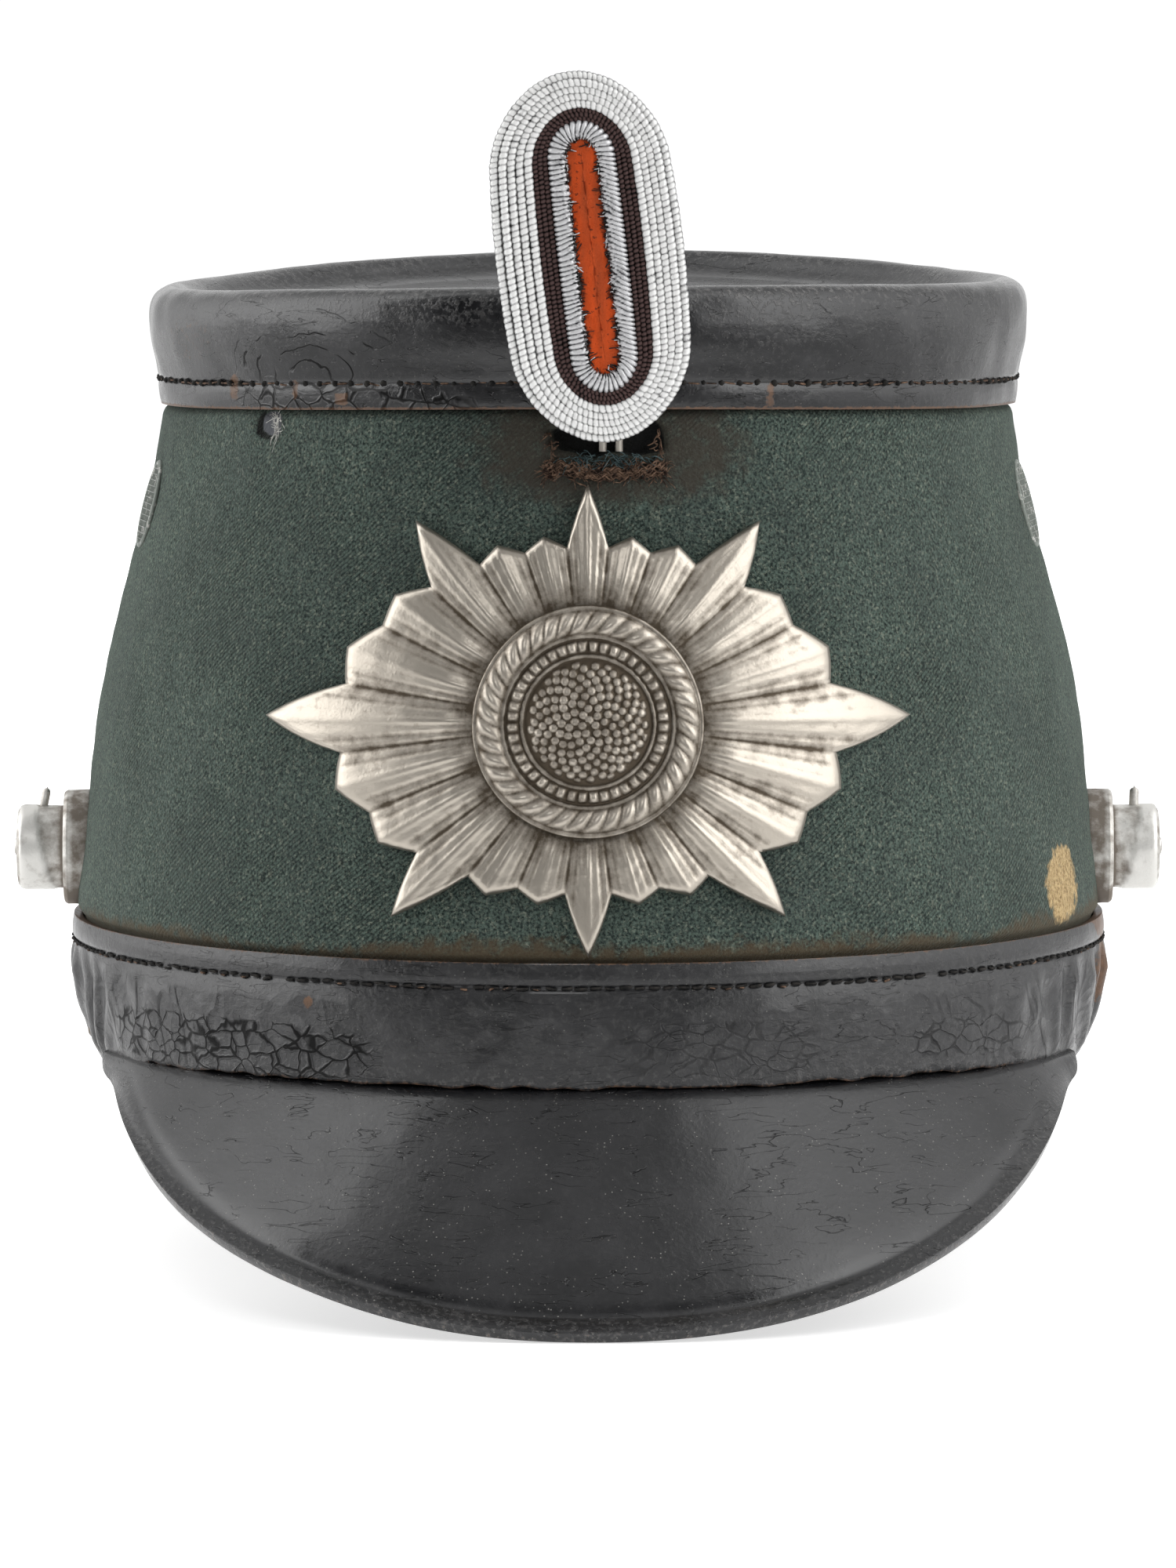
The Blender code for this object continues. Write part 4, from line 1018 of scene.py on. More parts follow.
def build_coil():
    """One tube whose ridges follow the way along plus a lean across: leaning turns of wire, pulled about
    by slow waves. They lean most on the right. Its inner half is ragged."""
    count, sides = 1456, 24
    flat, _ = oval_path(COIL_INSET + COIL_WIDTH / 2, count)
    centres = on_cockade(flat, 0.80 * MM)
    angle = np.linspace(0.0, 2 * math.pi, sides, endpoint=False)[None, :]
    way = np.arange(count)[:, None] / count
    across = np.cos(angle)
    pull = 0.7 * np.sin(way * 2 * math.pi * 7) + 0.6 * np.sin(way * 2 * math.pi * 17 + 1)
    pull = pull * (1.0 + 0.6 * across)
    lean = -0.95 - 2.15 * np.cos(2 * math.pi * way)
    ridge = np.abs(np.sin(math.pi * COIL_TURNS * way + lean * across + pull)) ** 0.6
    random = np.random.default_rng(51)
    lumps = random.uniform(-1, 1, (count // 4, sides)).repeat(4, axis=0)
    ragged = lumps * np.clip(across + 0.3, 0, 1) * 0.10
    flatness = np.sqrt((1.62 * across) ** 2 + (1.20 * np.sin(angle)) ** 2)
    radius = MM * flatness * (0.76 + 0.24 * ridge + ragged)
    coil = tubes("bullion_coil", centres[None], radius[None], sides, (0, 1, 0), True,
                 node="cockade_coil", slot="silver_cord")
    # Painted shade: a low height makes the colour dark between the turns and along both edges of the coil.
    edge = 0.25 * np.clip(np.abs(across) - 0.75, 0, 1) / 0.25
    paint(coil, "height", ridge * 0.95 + ragged * 4.5 - 0.05 - edge)
    coil.data.materials.append(BULLION)
    return coil


def coil_ends():
    """Loose ends of wire round the coil's inner edge: short curls that lean over the felt, a few of them
    bright and the rest dark."""
    random = np.random.default_rng(54)
    flat, _ = oval_path(COIL_INSET + COIL_WIDTH - 0.35 * MM, 2000)
    for name, count, finish in (("coil_ends_bright", 60, BULLION), ("coil_ends_dark", 230, BLACK_THREAD)):
        pick = random.integers(0, len(flat), count)
        start = flat[pick] * random.uniform(0.93, 1.03, (count, 1))
        inward = -unit(flat[pick] * (1.0, 0.35))
        sideways = np.stack((-inward[:, 1], inward[:, 0]), -1)
        step = np.linspace(0.0, 1.0, 6)[None, :, None]
        length = random.uniform(0.3, 0.95, (count, 1, 1)) * MM
        bend = random.uniform(-1.6, 1.6, (count, 1, 1)) * step**1.3
        path = start[:, None] + length * (inward[:, None] * step + sideways[:, None] * bend)
        lift = (1.75 - 0.35 * step[..., 0]) * MM * random.uniform(0.93, 1.02, (count, 1))
        radius = random.uniform(0.06, 0.11, (count, 1, 1)) * MM * np.ones((1, 6, 1))
        ends = tubes(name, on_cockade(path, lift), radius, 5, (0, 1, 0),
                     node="cockade_coil", slot="silver_cord")
        paint(ends, "height", np.full(len(ends.data.vertices), 0.7))
        ends.data.materials.append(finish)


def felt_finish():
    """Orange felt in two tones, painted nearly black along its ragged rim as the shade beside the coil, with
    dark specks of dirt.
    """
    felt = Finish("orange_felt", Roughness=0.95, Sheen_Weight=0.10, Sheen_Roughness=0.5,
                  Sheen_Tint=(1.0, 0.62, 0.42), Specular_IOR_Level=0.1)
    streaks = felt.noise(3 * MM, 4.0, stretch=(1.0, 1.0, 0.16))
    colour = felt.mix(felt.spread(streaks, 0.38, 0.68), (0.53, 0.070, 0.014), (0.27, 0.052, 0.018))
    uneven = felt.spread(felt.noise(0.9 * MM, 4.0), 0.3, 0.7, -0.5, 0.5)
    # Painted shade: the felt turns nearly black towards its rim, next to the raised coil.
    inner = felt.spread(felt.sum(felt.painted("height"), uneven), 0.1, 0.7)
    colour = felt.mix(inner, (0.035, 0.012, 0.008), colour)
    specks = felt.spread(felt.noise(0.7 * MM, 2.0), 0.62, 0.70, 0.0, 0.75)
    colour = felt.mix(specks, colour, (0.055, 0.018, 0.010))
    return felt.finish(Base_Color=colour, Normal=felt.bump(felt.noise(0.4 * MM, 3.0), 0.22 * MM))


def core_finish():
    """Brown leather of the backing, whose cut edge shows round the cords."""
    core = Finish("backing_leather", Roughness=0.75)
    colour = core.mix(core.noise(2 * MM, 4.0), (0.030, 0.016, 0.010), (0.17, 0.10, 0.055))
    return core.finish(Base_Color=colour, Normal=core.bump(core.noise(0.6 * MM, 4.0), 0.12 * MM))


def oval_cushion(name, inset, back, front, edge, uneven, **place):
    """An oval plate with a round front edge. Its rings shrink as a quarter circle over the edge, and then
    evenly to the middle, with a small dome. uneven is the depth of its lumps and the sway of its rim."""
    quarter = np.linspace(0.0, math.pi / 2, 7)
    insets = np.concatenate(([edge, 0.0], edge * (1 - np.cos(quarter))))
    depths = np.concatenate(([back, back], front - edge + edge * np.sin(quarter)))
    radius = COCKADE_HALF_WIDTH - inset
    inner = np.linspace(edge, radius * 0.997, 9)[1:]
    insets = np.concatenate((insets, inner))
    depths = np.concatenate((depths, front + 0.18 * MM * np.sin((inner - edge) / radius * math.pi / 2)))
    count = 260
    rings = np.stack([on_cockade(oval_path(inset + i, count)[0], d) for i, d in zip(insets, depths)])
    rings[..., 1] -= uneven * waves(rings, 1.6 * MM, 52) * (np.arange(len(rings)) > 3)[:, None]
    sway = np.stack((waves(rings, 3 * MM, 55), 0 * rings[..., 0], waves(rings, 3 * MM, 56)), -1)
    rings = rings + uneven * 3.0 * sway * np.clip(1.0 - insets / (0.6 * radius), 0, 1)[:, None, None]
    piece = skin(name, rings, start=rings[0].mean(axis=0), end=rings[-1].mean(axis=0), **place)
    paint(piece, "height", (insets / (0.45 * radius))[:, None] * np.ones((1, count)))
    return piece


coil = build_coil()
coil_ends()
core = oval_cushion("leather_backing", 0.15 * MM, -3.0 * MM, 0.0, 0.5 * MM, 0.0,
                    node="cockade_core", slot="core_leather")
core.data.materials.append(core_finish())
felt = oval_cushion("felt_strip", COIL_INSET + COIL_WIDTH - 0.45 * MM, 0.1 * MM, 1.30 * MM, 0.6 * MM,
                    0.10 * MM, node="cockade_pad", slot="orange_felt")
felt.data.materials.append(felt_finish())
print("coil faces:", len(coil.data.polygons))

# %% [markdown]
# ## The front plate
#
# The plate is a stamped oval star: rays run from a round seat to a pointed outline. It is a height field in
# polar form, bent round the cap. The outline is the reach of each ray, read between the rays in straight
# lines, and each ray is a ridge with two finer reeds beside it, which is what a steel die would press.

# %% Star
STAR_HEIGHT = 94.0 * MM
STAR_HALF_WIDTH = 57.0 * MM
STAR_HALF_HEIGHT = 36.5 * MM
STAR_RAYS = 24
RAY_LENGTHS = (1.0, 0.79, 0.79)
RAY_NOTCH = 0.93
STANDOFF = 1.0 * MM
STAR_SEAT = 17.0 * MM
BACK_ROWS = 9


def arc_turn(arc, height):
    """The turn at which the oval has run a given length from the front: the lengths of many short steps
    are summed, and the table is read backwards."""
    steps = np.linspace(0.0, math.pi / 2, 181)
    ring = hat(steps, float(np.mean(height)))
    lengths = np.concatenate(([0.0], np.cumsum(np.linalg.norm(np.diff(ring[:, :2], axis=0), axis=1))))
    return np.sign(arc) * np.interp(np.abs(arc), lengths, steps)


def bent(radius, angle, out):
    """Polar points of a flat sheet, bent round the cap and moved out from its cloth."""
    height = STAR_HEIGHT + radius * np.sin(angle)
    arc = radius * np.cos(angle)
    turn = arc_turn(arc, height)
    return hat(turn, height, out)


def star_reach(angle):
    """The outline: ray tips and notches on an oval, joined by straight lines over the angle."""
    place = (angle - math.pi / 2) / (2 * math.pi) * 2 * STAR_RAYS
    knots = np.arange(-2 * STAR_RAYS, 4 * STAR_RAYS + 1)
    ray = np.array(RAY_LENGTHS)
    tips = ray[(knots // 2) % 3]
    notches = np.minimum(ray[(knots // 2) % 3], ray[(knots // 2 + 1) % 3]) * RAY_NOTCH
    shares = np.where(knots % 2 == 0, tips, notches)
    oval = 1.0 / np.hypot(np.cos(angle) / STAR_HALF_WIDTH, np.sin(angle) / STAR_HALF_HEIGHT)
    return oval * np.interp(place, knots, shares)


def build_star():
    """The rayed plate: back, rim and front as one closed grid from the middle out and in again. Its relief
    grows from the seat outwards and tapers off to the tips, where the sheet is thin."""
    columns = STAR_RAYS * 16
    angle = (np.arange(columns) / columns * 2 * math.pi + math.pi / 2)[None, :]
    reach = star_reach(angle)
    phase = (angle - math.pi / 2) / (2 * math.pi) * STAR_RAYS
    across = np.abs((phase + 0.5) % 1.0 - 0.5) * 2
    ridge = 1.0 - across
    reeds = np.abs(np.cos(across * math.pi * 2.5)) ** 0.8
    share = np.concatenate((np.linspace(0, 1, BACK_ROWS), np.linspace(1, 0, 40)))[:, None]
    front = (np.arange(len(share)) >= BACK_ROWS)[:, None]
    innermost = STAR_SEAT * 0.2
    radius = innermost + (reach - innermost) * share
    growth = np.clip((radius - STAR_SEAT) / (6 * MM), 0, 1)
    taper = 1.0 - 0.55 * np.clip((radius - STAR_SEAT) / (reach - STAR_SEAT), 0, 1)
    edge = np.clip((1 - share) / 0.03, 0, 1)
    relief = growth * taper * (1.05 * ridge + 0.32 * reeds) * MM
    hammered = 0.05 * MM * waves(np.stack((radius, radius * angle, 0 * radius), -1), 2.0 * MM, 61)
    out = STANDOFF + front * (0.55 * MM + edge * (0.35 * MM + relief + hammered * growth))
    points = bent(radius, angle, out)
    star = skin("rayed_plate", points, start=bent(0.0, 0.0, STANDOFF), end=bent(0.0, 0.0, out.max()),
                node="badge_star", slot="nickel")
    height = np.where(front, 0.20 + 0.55 * growth * ridge + 0.40 * reeds * growth - 0.15 * (1 - edge), 0.1)
    rim = np.exp(-(((1 - share) / 0.05) ** 2)) * front * 0.5
    paint(star, "height", height + rim)
    star.data.materials.append(NICKEL)
    return star


star = build_star()
print("star faces:", len(star.data.polygons))

# %% [markdown]
# The boss hides the plate's middle. Its section, from the rim inwards, is a rope border, a fillet, a ring
# of beads, a groove and a pebbled dome. Beads and rope are waves round the angle, and the pebbles are the
# distance to the nearest of 150 points that fill the disc like the seeds of a sunflower.

# %% Boss
BOSS_RADIUS = 18.0 * MM
BOSS_BACK = STANDOFF + 1.5 * MM


def hump(radius, middle, half_width):
    """A half circle across a ring: sqrt(1 - ((r - middle) / half_width)^2), and 0 beside it."""
    return np.sqrt(np.clip(1.0 - ((radius - middle) / half_width) ** 2, 0.0, 1.0))


def pebbles(radius, angle, count, reach):
    """0 between pebbles and 1 on top of one: points at the golden angle, spread evenly over the disc."""
    seeds = np.arange(count) + 0.5
    seed_radius = reach * np.sqrt(seeds / count)
    seed_angle = seeds * math.pi * (3 - math.sqrt(5))
    seed = np.stack((seed_radius * np.cos(seed_angle), seed_radius * np.sin(seed_angle)), -1)
    flat = np.stack((radius * np.cos(angle), radius * np.sin(angle)), -1)
    distance = np.linalg.norm(flat[..., None, :] - seed, axis=-1).min(axis=-1)
    spacing = reach * math.sqrt(math.pi / count)
    return np.sqrt(np.clip(1.0 - (distance / (0.52 * spacing)) ** 2, 0.0, 1.0))


def build_boss():
    """The boss as one closed grid: its back, its rim, and its worked front."""
    columns = 360
    angle = (np.arange(columns) / columns * 2 * math.pi + math.pi / 2)[None, :]
    share = np.concatenate((np.linspace(0.05, 1, 5), np.linspace(1, 0.02, 104)))[:, None]
    front = (np.arange(len(share)) >= 5)[:, None]
    r = BOSS_RADIUS * share + 0 * angle
    dome = np.clip(1.0 - (r / (9.6 * MM)) ** 2, 0.0, 1.0)
    stones = pebbles(r, angle, 150, 9.3 * MM) * np.clip(dome * 8, 0, 1)
    beads = hump(r, 11.6 * MM, 0.95 * MM) * np.abs(np.sin(angle * 22)) ** 0.6
    rope = hump(r, 15.4 * MM, 1.9 * MM)
    strands = np.abs(np.sin(angle * 20 + (r - 15.4 * MM) / (1.25 * MM))) ** 0.7
    border = hump(r, 13.2 * MM, 0.35 * MM) + hump(r, 10.2 * MM, 0.35 * MM) + hump(r, 17.6 * MM, 0.4 * MM)
    rise = 0.9 + 1.9 * dome + 0.42 * stones + 0.9 * beads + rope * (0.75 + 0.65 * strands) + 0.35 * border
    out = BOSS_BACK + front * rise * MM
    points = bent(r, angle, out)
    boss = skin("worked_boss", points, start=bent(0.0, 0.0, BOSS_BACK), end=bent(0.0, 0.0, out[-1].mean()),
                node="badge_boss", slot="nickel")
    height = 0.12 + 0.55 * stones + 0.65 * beads + rope * (0.25 + 0.5 * strands)
    paint(boss, "height", np.where(front, height + 0.45 * np.clip(border, 0, 1), 0.1))
    boss.data.materials.append(NICKEL)
    return boss


boss = build_boss()
print("boss faces:", len(boss.data.polygons))

# %% [markdown]
# ## Strap posts
#
# A chin strap's eyelets go over two metal posts, one on each side, and a pin keeps them on. Each post is a
# turned shape: a section of radius against depth, spun round a level axis. The outer sleeve is a thin
# second skin whose inner edge swings in a curve, so it is added as a step that depends on the angle.

# %% Strap posts
# Radius and depth out from the cloth, in millimetres
POST_SECTION = (
    (9.2, -1.6), (9.6, -1.2), (9.6, 1.9), (9.55, 2.4), (9.2, 2.85), (8.8, 2.9), (8.45, 2.65), (8.1, 2.42),
    (7.6, 2.36), (7.05, 2.45), (6.95, 2.9), (6.95, 5.0), (6.95, 7.5), (6.95, 9.2), (6.8, 10.0), (6.3, 10.6),
    (5.5, 10.8), (4.0, 10.85), (2.2, 10.87), (1.55, 10.95), (1.35, 11.2), (0.8, 11.38), (0.25, 11.4),
)
POST_Y = (post_low[1] + post_high[1]) / 2
POST_Z = post_low[2] + 9.1 * MM


def level_frame(side, depth, upward, along):
    """Places depth out from the cloth, height above the axis and way along the cap at one post."""
    face = hat(side * math.pi / 2, POST_Z)[0]
    return np.stack((face + side * (depth + 0.3 * MM), POST_Y + along, POST_Z + upward), -1)


def build_post(side, word):
    """A post spun round its level axis, with its sleeve."""
    section = smooth_curve(POST_SECTION, 90) * MM
    radius, depth = section[:, :1], section[:, 1:]
    angle = np.linspace(0, 2 * math.pi, 96, endpoint=False)[None, :]
    edge = 5.6 * MM + 1.7 * MM * np.cos(angle - side * 0.4)
    sleeve = np.clip((depth - edge) / (0.25 * MM), 0, 1) * (radius > 6.6 * MM) * (depth > 3 * MM)
    radius = radius + 0.22 * MM * sleeve
    points = level_frame(side, depth + 0 * angle, radius * np.cos(angle), -side * radius * np.sin(angle))
    dents = 0.05 * MM * waves(points, 3 * MM, 71)
    points = points + dents[..., None] * unit(points - points.mean(axis=1, keepdims=True))
    post = skin(f"strap_post_{word}", points, start=points[0].mean(axis=0), end=points[-1].mean(axis=0),
                node=f"side_post_{word}", slot="nickel")
    spots = 0.10 * waves(points, 6 * MM, 72) + 0.10 * waves(points, 1.6 * MM, 73) * (1 - 0.7 * sleeve)
    low = np.clip((-(points[..., 2] - POST_Z) - 4.5 * MM) / (4 * MM), 0, 1)
    # The plate's wall next to the cloth is darkened as painted shade, and the plate is darker towards its
    # bottom.
    bright = 0.58 + 0.30 * sleeve + spots - 0.25 * (depth < 1.5 * MM) - 0.45 * low * (depth < 3 * MM)
    groove = np.exp(-(((depth - 3.0 * MM) / (0.5 * MM)) ** 2)) * (radius < 8 * MM)
    paint(post, "height", bright - 0.5 * groove)
    post.data.materials.append(POST_METAL)
    return post


build_post(1, "left")
build_post(-1, "right")


def build_pins():
    """Two retaining pins that stand up from the posts, leaning a little, with round ends."""
    step = np.sin(np.linspace(0.0, math.pi / 2, 20))
    paths = []
    for side, lean in ((1, 0.1), (-1, -0.55)):
        rise = 6.0 * MM + 3.9 * MM * step
        paths.append(level_frame(side, 6.6 * MM + lean * (step * 1.4) * MM, rise, 0.0 * step))
    radius = 0.80 * MM * np.sqrt(np.clip(1 - np.clip((step - 0.80) / 0.2, 0, 1) ** 2, 0.03, 1))
    radii = np.stack((radius, radius * 0.85))[:, :, None]
    pins = tubes("retaining_pins", np.stack(paths), radii, 14, reference=(0, 1, 0), slot="nickel")
    paint(pins, "height", np.full(len(pins.data.vertices), 0.65))
    pins.data.materials.append(POST_METAL)
    return pins


pins = build_pins()
print("posts at height", round(POST_Z / MM, 1), "mm")

# %% [markdown]
# ## Side vents
#
# A small vent high on each side lets warm air out. It is a painted ring with wire gauze behind it. The ring
# is a round section carried round a circle on the cap's face, and the gauze is two sets of short straight
# wires, cut to the circle's chords.

# %% Side vents
VENT_TURN = math.radians(80.0)
VENT_Z = 125.5 * MM
VENT_RADIUS = 7.5 * MM
GAUZE_RADIUS = 7.0 * MM


def vent_frame(side):
    """Origin and three directions at a vent: along the cap, up its face and straight out."""
    step = 0.01
    here = hat(side * VENT_TURN, VENT_Z)
    along = unit(hat(side * VENT_TURN + step, VENT_Z) - hat(side * VENT_TURN - step, VENT_Z))
    upward = unit(hat(side * VENT_TURN, VENT_Z + MM) - hat(side * VENT_TURN, VENT_Z - MM))
    outward = unit(np.cross(along, upward))
    return here, along, np.cross(outward, along), outward


def vent_paint():
    """Dull green-grey paint, chipped to metal in places."""
    coat = Finish("vent_paint", Metallic=0.2)
    chips = coat.spread(coat.noise(1.5 * MM, 5.0), 0.55, 0.62)
    colour = coat.mix(chips, (0.16, 0.18, 0.16), (0.42, 0.42, 0.39))
    return coat.finish(Base_Color=colour, Roughness=coat.spread(chips, 0.0, 1.0, 0.6, 0.4))


def build_vents():
    """Both rims as closed rings, both gauzes as sets of wires, and a black disc behind each, as painted shade
    inside the cap.
    """
    paint_finish = vent_paint()
    angle = np.linspace(0, 2 * math.pi, 72, endpoint=False)
    for side, name in ((1, "left"), (-1, "right")):
        here, along, upward, outward = vent_frame(side)
        ring = (np.cos(angle)[:, None] * along + np.sin(angle)[:, None] * upward) * (VENT_RADIUS - 0.4 * MM)
        centres = here + ring + outward * 0.12 * MM
        section = np.linspace(0, 2 * math.pi, 16, endpoint=False)
        radius = 0.42 * MM * (1 - 0.10 * np.abs(np.sin(section)))[None, None, :]
        rim = tubes(f"vent_rim_{name}", centres[None], radius, 16, tuple(outward), True,
                    node=f"side_vent_{name}", slot="vent_paint")
        rim.data.materials.append(paint_finish)
        offsets = np.linspace(-6.0, 6.0, 13) * MM
        chord = np.sqrt(GAUZE_RADIUS**2 - offsets**2)
        step = np.linspace(-1, 1, 5)
        one = offsets[:, None, None] * along + (chord[:, None] * step)[:, :, None] * upward
        two = offsets[:, None, None] * upward + (chord[:, None] * step)[:, :, None] * along
        wires = here + np.concatenate((one, two + outward * 0.12 * MM)) + outward * 0.24 * MM
        gauze = tubes(f"vent_gauze_{name}", wires, 0.10 * MM, 5, tuple(outward), node=f"side_vent_{name}",
                      slot="vent_paint")
        gauze.data.materials.append(paint_finish)
        # Painted shade: a black disc behind the gauze stands for the dark inside of the cap.
        back = here + outward * 0.12 * MM
        disc = back + (np.cos(angle)[:, None] * along + np.sin(angle)[:, None] * upward) * GAUZE_RADIUS
        rows = np.stack((disc - outward * 0.15 * MM, disc))
        dark = skin(f"vent_shade_disc_{name}", rows, start=back - outward * 0.15 * MM, end=back,
                    node=f"side_vent_{name}", slot="vent_paint")
        dark.data.materials.append(BLACK_THREAD)


build_vents()
print("vents at height", round(VENT_Z / MM, 1), "mm")

# %% [markdown]
# ## Stitches
#
# The crown's skirt and the band are sewn with strong thread, and small stitches make a leather edge look
# its size. They are short tubes laid along the seam, each one dipping into its holes. The band's thread is
# black and worn to brown in places, so a second, thinner set of brown ones lies on a few of them.

# %% Stitches
SEAM_ARM = 80 * MM  # way along the seam for a turn of one radian
CROWN_STITCHES, BAND_STITCHES = 146, 230
STITCH_STEPS, STITCH_SIDES = 7, 6


def seam_stitches(name, count, height, out, length, radius, kept, seed, material, phase=0.5):
    """Stitches at equal turns round the cap. Each is an arch of given length along the face; a random
    share of them is lost."""
    random = np.random.default_rng(seed)
    angle = (np.arange(count) + phase) / count * 2 * math.pi - math.pi
    turn = angle[random.uniform(size=count) < kept]
    step = np.linspace(-0.5, 0.5, STITCH_STEPS)
    size = length * random.uniform(0.75, 1.05, (len(turn), 1)) / SEAM_ARM
    path_turn = turn[:, None] + size * step + random.normal(0, 0.0012, (len(turn), 1))
    tilt = random.normal(0, 0.10 * MM, (len(turn), 1)) * step * 2
    arch = radius * 1.2 * (1 - (2 * step) ** 4) - radius * 0.6
    rise = height + tilt + random.normal(0, 0.08 * MM, (len(turn), 1))
    paths = hat(path_turn, rise, out + arch)
    thickness = radius * random.uniform(0.8, 1.15, (len(turn), 1, 1))
    threads = tubes(name, paths, thickness, STITCH_SIDES, slot="leather")
    threads.data.materials.append(material)
    return threads


crown_seam = seam_stitches("crown_stitches", CROWN_STITCHES, SEAM + 4.8 * MM, 0.82 * MM, 2.5 * MM,
                           0.15 * MM, 0.85, 81, BROWN_THREAD)
# Painted shade: short black tubes in the stitch holes, where the holes lie in shadow.
seam_stitches("crown_stitch_hole_shade", CROWN_STITCHES, SEAM + 4.85 * MM, 0.58 * MM, 0.55 * MM,
              0.46 * MM, 1.0, 84, BLACK_THREAD, phase=0.0)
seam_stitches("band_stitches", BAND_STITCHES, HEM + 16.0 * MM, 0.66 * MM, 1.7 * MM,
              0.24 * MM, 0.97, 82, BLACK_THREAD)
seam_stitches("band_flecks", BAND_STITCHES, HEM + 15.8 * MM, 0.80 * MM, 0.9 * MM,
              0.16 * MM, 0.28, 83, BROWN_THREAD)
print("stitches left on the crown:", len(crown_seam.data.vertices) // (STITCH_STEPS * STITCH_SIDES + 2))

# %% [markdown]
# ## Frayed threads
#
# The pocket's edges and the worn hole are frayed: dozens of loose fibres that start in random directions and
# are bent by their weight and by chance. A hair system could grow them, but a few hundred thin tubes stay
# plain meshes and cost less. Below the pocket a whipping of brown thread holds the cloth, made of several
# strands that sway round each other.

# %% Frayed threads
FRONT_ARM = 88 * MM  # way along the cloth at the front for a turn of one radian
THREAD_STEPS, THREAD_SIDES = 8, 5


def frayed(name, starts, lengths, spread, radius, seed, material, drop=0.35):
    """Loose fibres from given (turn, height) starts: each is a curve whose direction turns at random from
    step to step, pulled down a little and kept close to the cloth."""
    random = np.random.default_rng(seed)
    count, steps = len(starts), THREAD_STEPS
    heading = random.uniform(-spread, spread, (count, 1))
    heading = heading + np.cumsum(random.normal(0, 0.28, (count, steps)), 1)
    length = random.uniform(*lengths, (count, 1)) / steps
    sideways = np.cumsum(np.cos(heading) * length * random.choice((-1, 1), (count, 1)), axis=1)
    upward = np.cumsum(np.sin(heading) * length - drop * length, axis=1)
    turn = starts[:, :1] + sideways / FRONT_ARM
    lift = np.linspace(0.0, 1.0, steps) * random.uniform(0.1, 0.8, (count, 1)) * MM + 0.1 * MM
    paths = hat(turn, starts[:, 1:] + upward, lift)
    taper = radius * np.linspace(1.0, 0.55, steps)[None, :, None] * random.uniform(0.7, 1.2, (count, 1, 1))
    threads = tubes(name, paths, taper, THREAD_SIDES, slot="cloth")
    threads.data.materials.append(material)
    return threads


def along_pocket(count, seed, height, spread_height, half_width=POCKET_HALF_WIDTH):
    """Random starts along the pocket, as (turn, height) pairs."""
    random = np.random.default_rng(seed)
    turn = (POCKET_X + random.uniform(-half_width, half_width, count)) / FRONT_ARM
    return np.stack((turn, height - CROWN_RISE + random.normal(0, spread_height, count)), -1)


def count_threads(*parts):
    """How many loose fibres there are: each has its rings and two tips."""
    return sum(len(part.data.vertices) for part in parts) // (THREAD_STEPS * THREAD_SIDES + 2)


green_starts = along_pocket(90, 91, POCKET_Z - 2.9 * MM, 0.5 * MM)
green_fray = frayed("pocket_fray_green", green_starts, (1.0 * MM, 3.2 * MM), 0.9, 0.10 * MM, 92,
                    GREEN_THREAD)
brown_starts = along_pocket(230, 93, POCKET_Z - 4.9 * MM, 0.50 * MM, 11.5 * MM)
brown_fray = frayed("pocket_fray_brown", brown_starts, (1.2 * MM, 3.2 * MM), 0.35, 0.12 * MM, 94,
                    BROWN_THREAD, drop=0.05)
print("loose threads along the pocket:", count_threads(green_fray, brown_fray))

# %% Whipping under the pocket
STRANDS = 7


def build_whipping():
    """Strands along the pocket's lower edge, each a wave in height and in depth with its own phase."""
    step = np.linspace(0.0, 1.0, 90)
    turn = (POCKET_X + (-12.0 + 24.0 * step) * MM) / FRONT_ARM
    bow = 0.5 * np.sin(step * 7 + 1)
    strands = []
    for strand in range(STRANDS):
        sway = np.sin(step * 2 * math.pi * (9 + strand % 3) + strand * 2.1)
        height = POCKET_Z - CROWN_RISE + (-4.7 + 0.28 * (strand - 3) + 0.30 * sway + bow) * MM
        strands.append(hat(turn, height, (0.35 + 0.20 * np.cos(step * 2 * math.pi * 9 + strand * 2.1)) * MM))
    whipping = tubes("pocket_whipping", np.stack(strands), 0.15 * MM, 6, slot="cloth")
    whipping.data.materials.append(BROWN_THREAD)
    return whipping


whipping = build_whipping()
print("whipping points:", len(whipping.data.vertices))

# %% Threads beside the pocket and in the hole


def beside_pocket(count):
    """Starts at equal heights up both ends of the pocket."""
    rise = np.linspace(134, 140.5, count) * MM - CROWN_RISE
    ends = [(POCKET_X + across * MM) / FRONT_ARM for across in (-10.5, 10.5)]
    return np.concatenate([np.stack((np.full(count, turn), rise), -1) for turn in ends])


def in_hole(count):
    """Random starts in the worn hole."""
    middle = (HOLE_TURN + 0.034, HOLE_HEIGHT + 0.2 * MM)
    return np.random.default_rng(96).normal(middle, (0.006, 0.9 * MM), (count, 2))


end_fray = frayed("pocket_fray_ends", beside_pocket(26), (1.0 * MM, 2.4 * MM), 1.2, 0.13 * MM, 95,
                  BROWN_THREAD)
hole_fray = frayed("hole_fray", in_hole(40), (0.8 * MM, 2.4 * MM), 1.5, 0.07 * MM, 97, PALE_THREAD)
print("loose threads elsewhere:", count_threads(end_fray, hole_fray))

# %% [markdown]
# ## The cockade's wires
#
# The cockade stands on two bent wires that go down into the pocket. Their solid already has the shape of a
# wire, so it is kept as it is, and only gets a worn metal finish.

# %% Cockade wires
WIRE_METAL = nickel_finish("clip_metal", (0.70, 0.68, 0.64), (0.45, 0.42, 0.38))
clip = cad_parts["cockade_clip"]
clip.data.materials.clear()
clip.data.materials.append(WIRE_METAL)
print("kept solid:", clip.name)

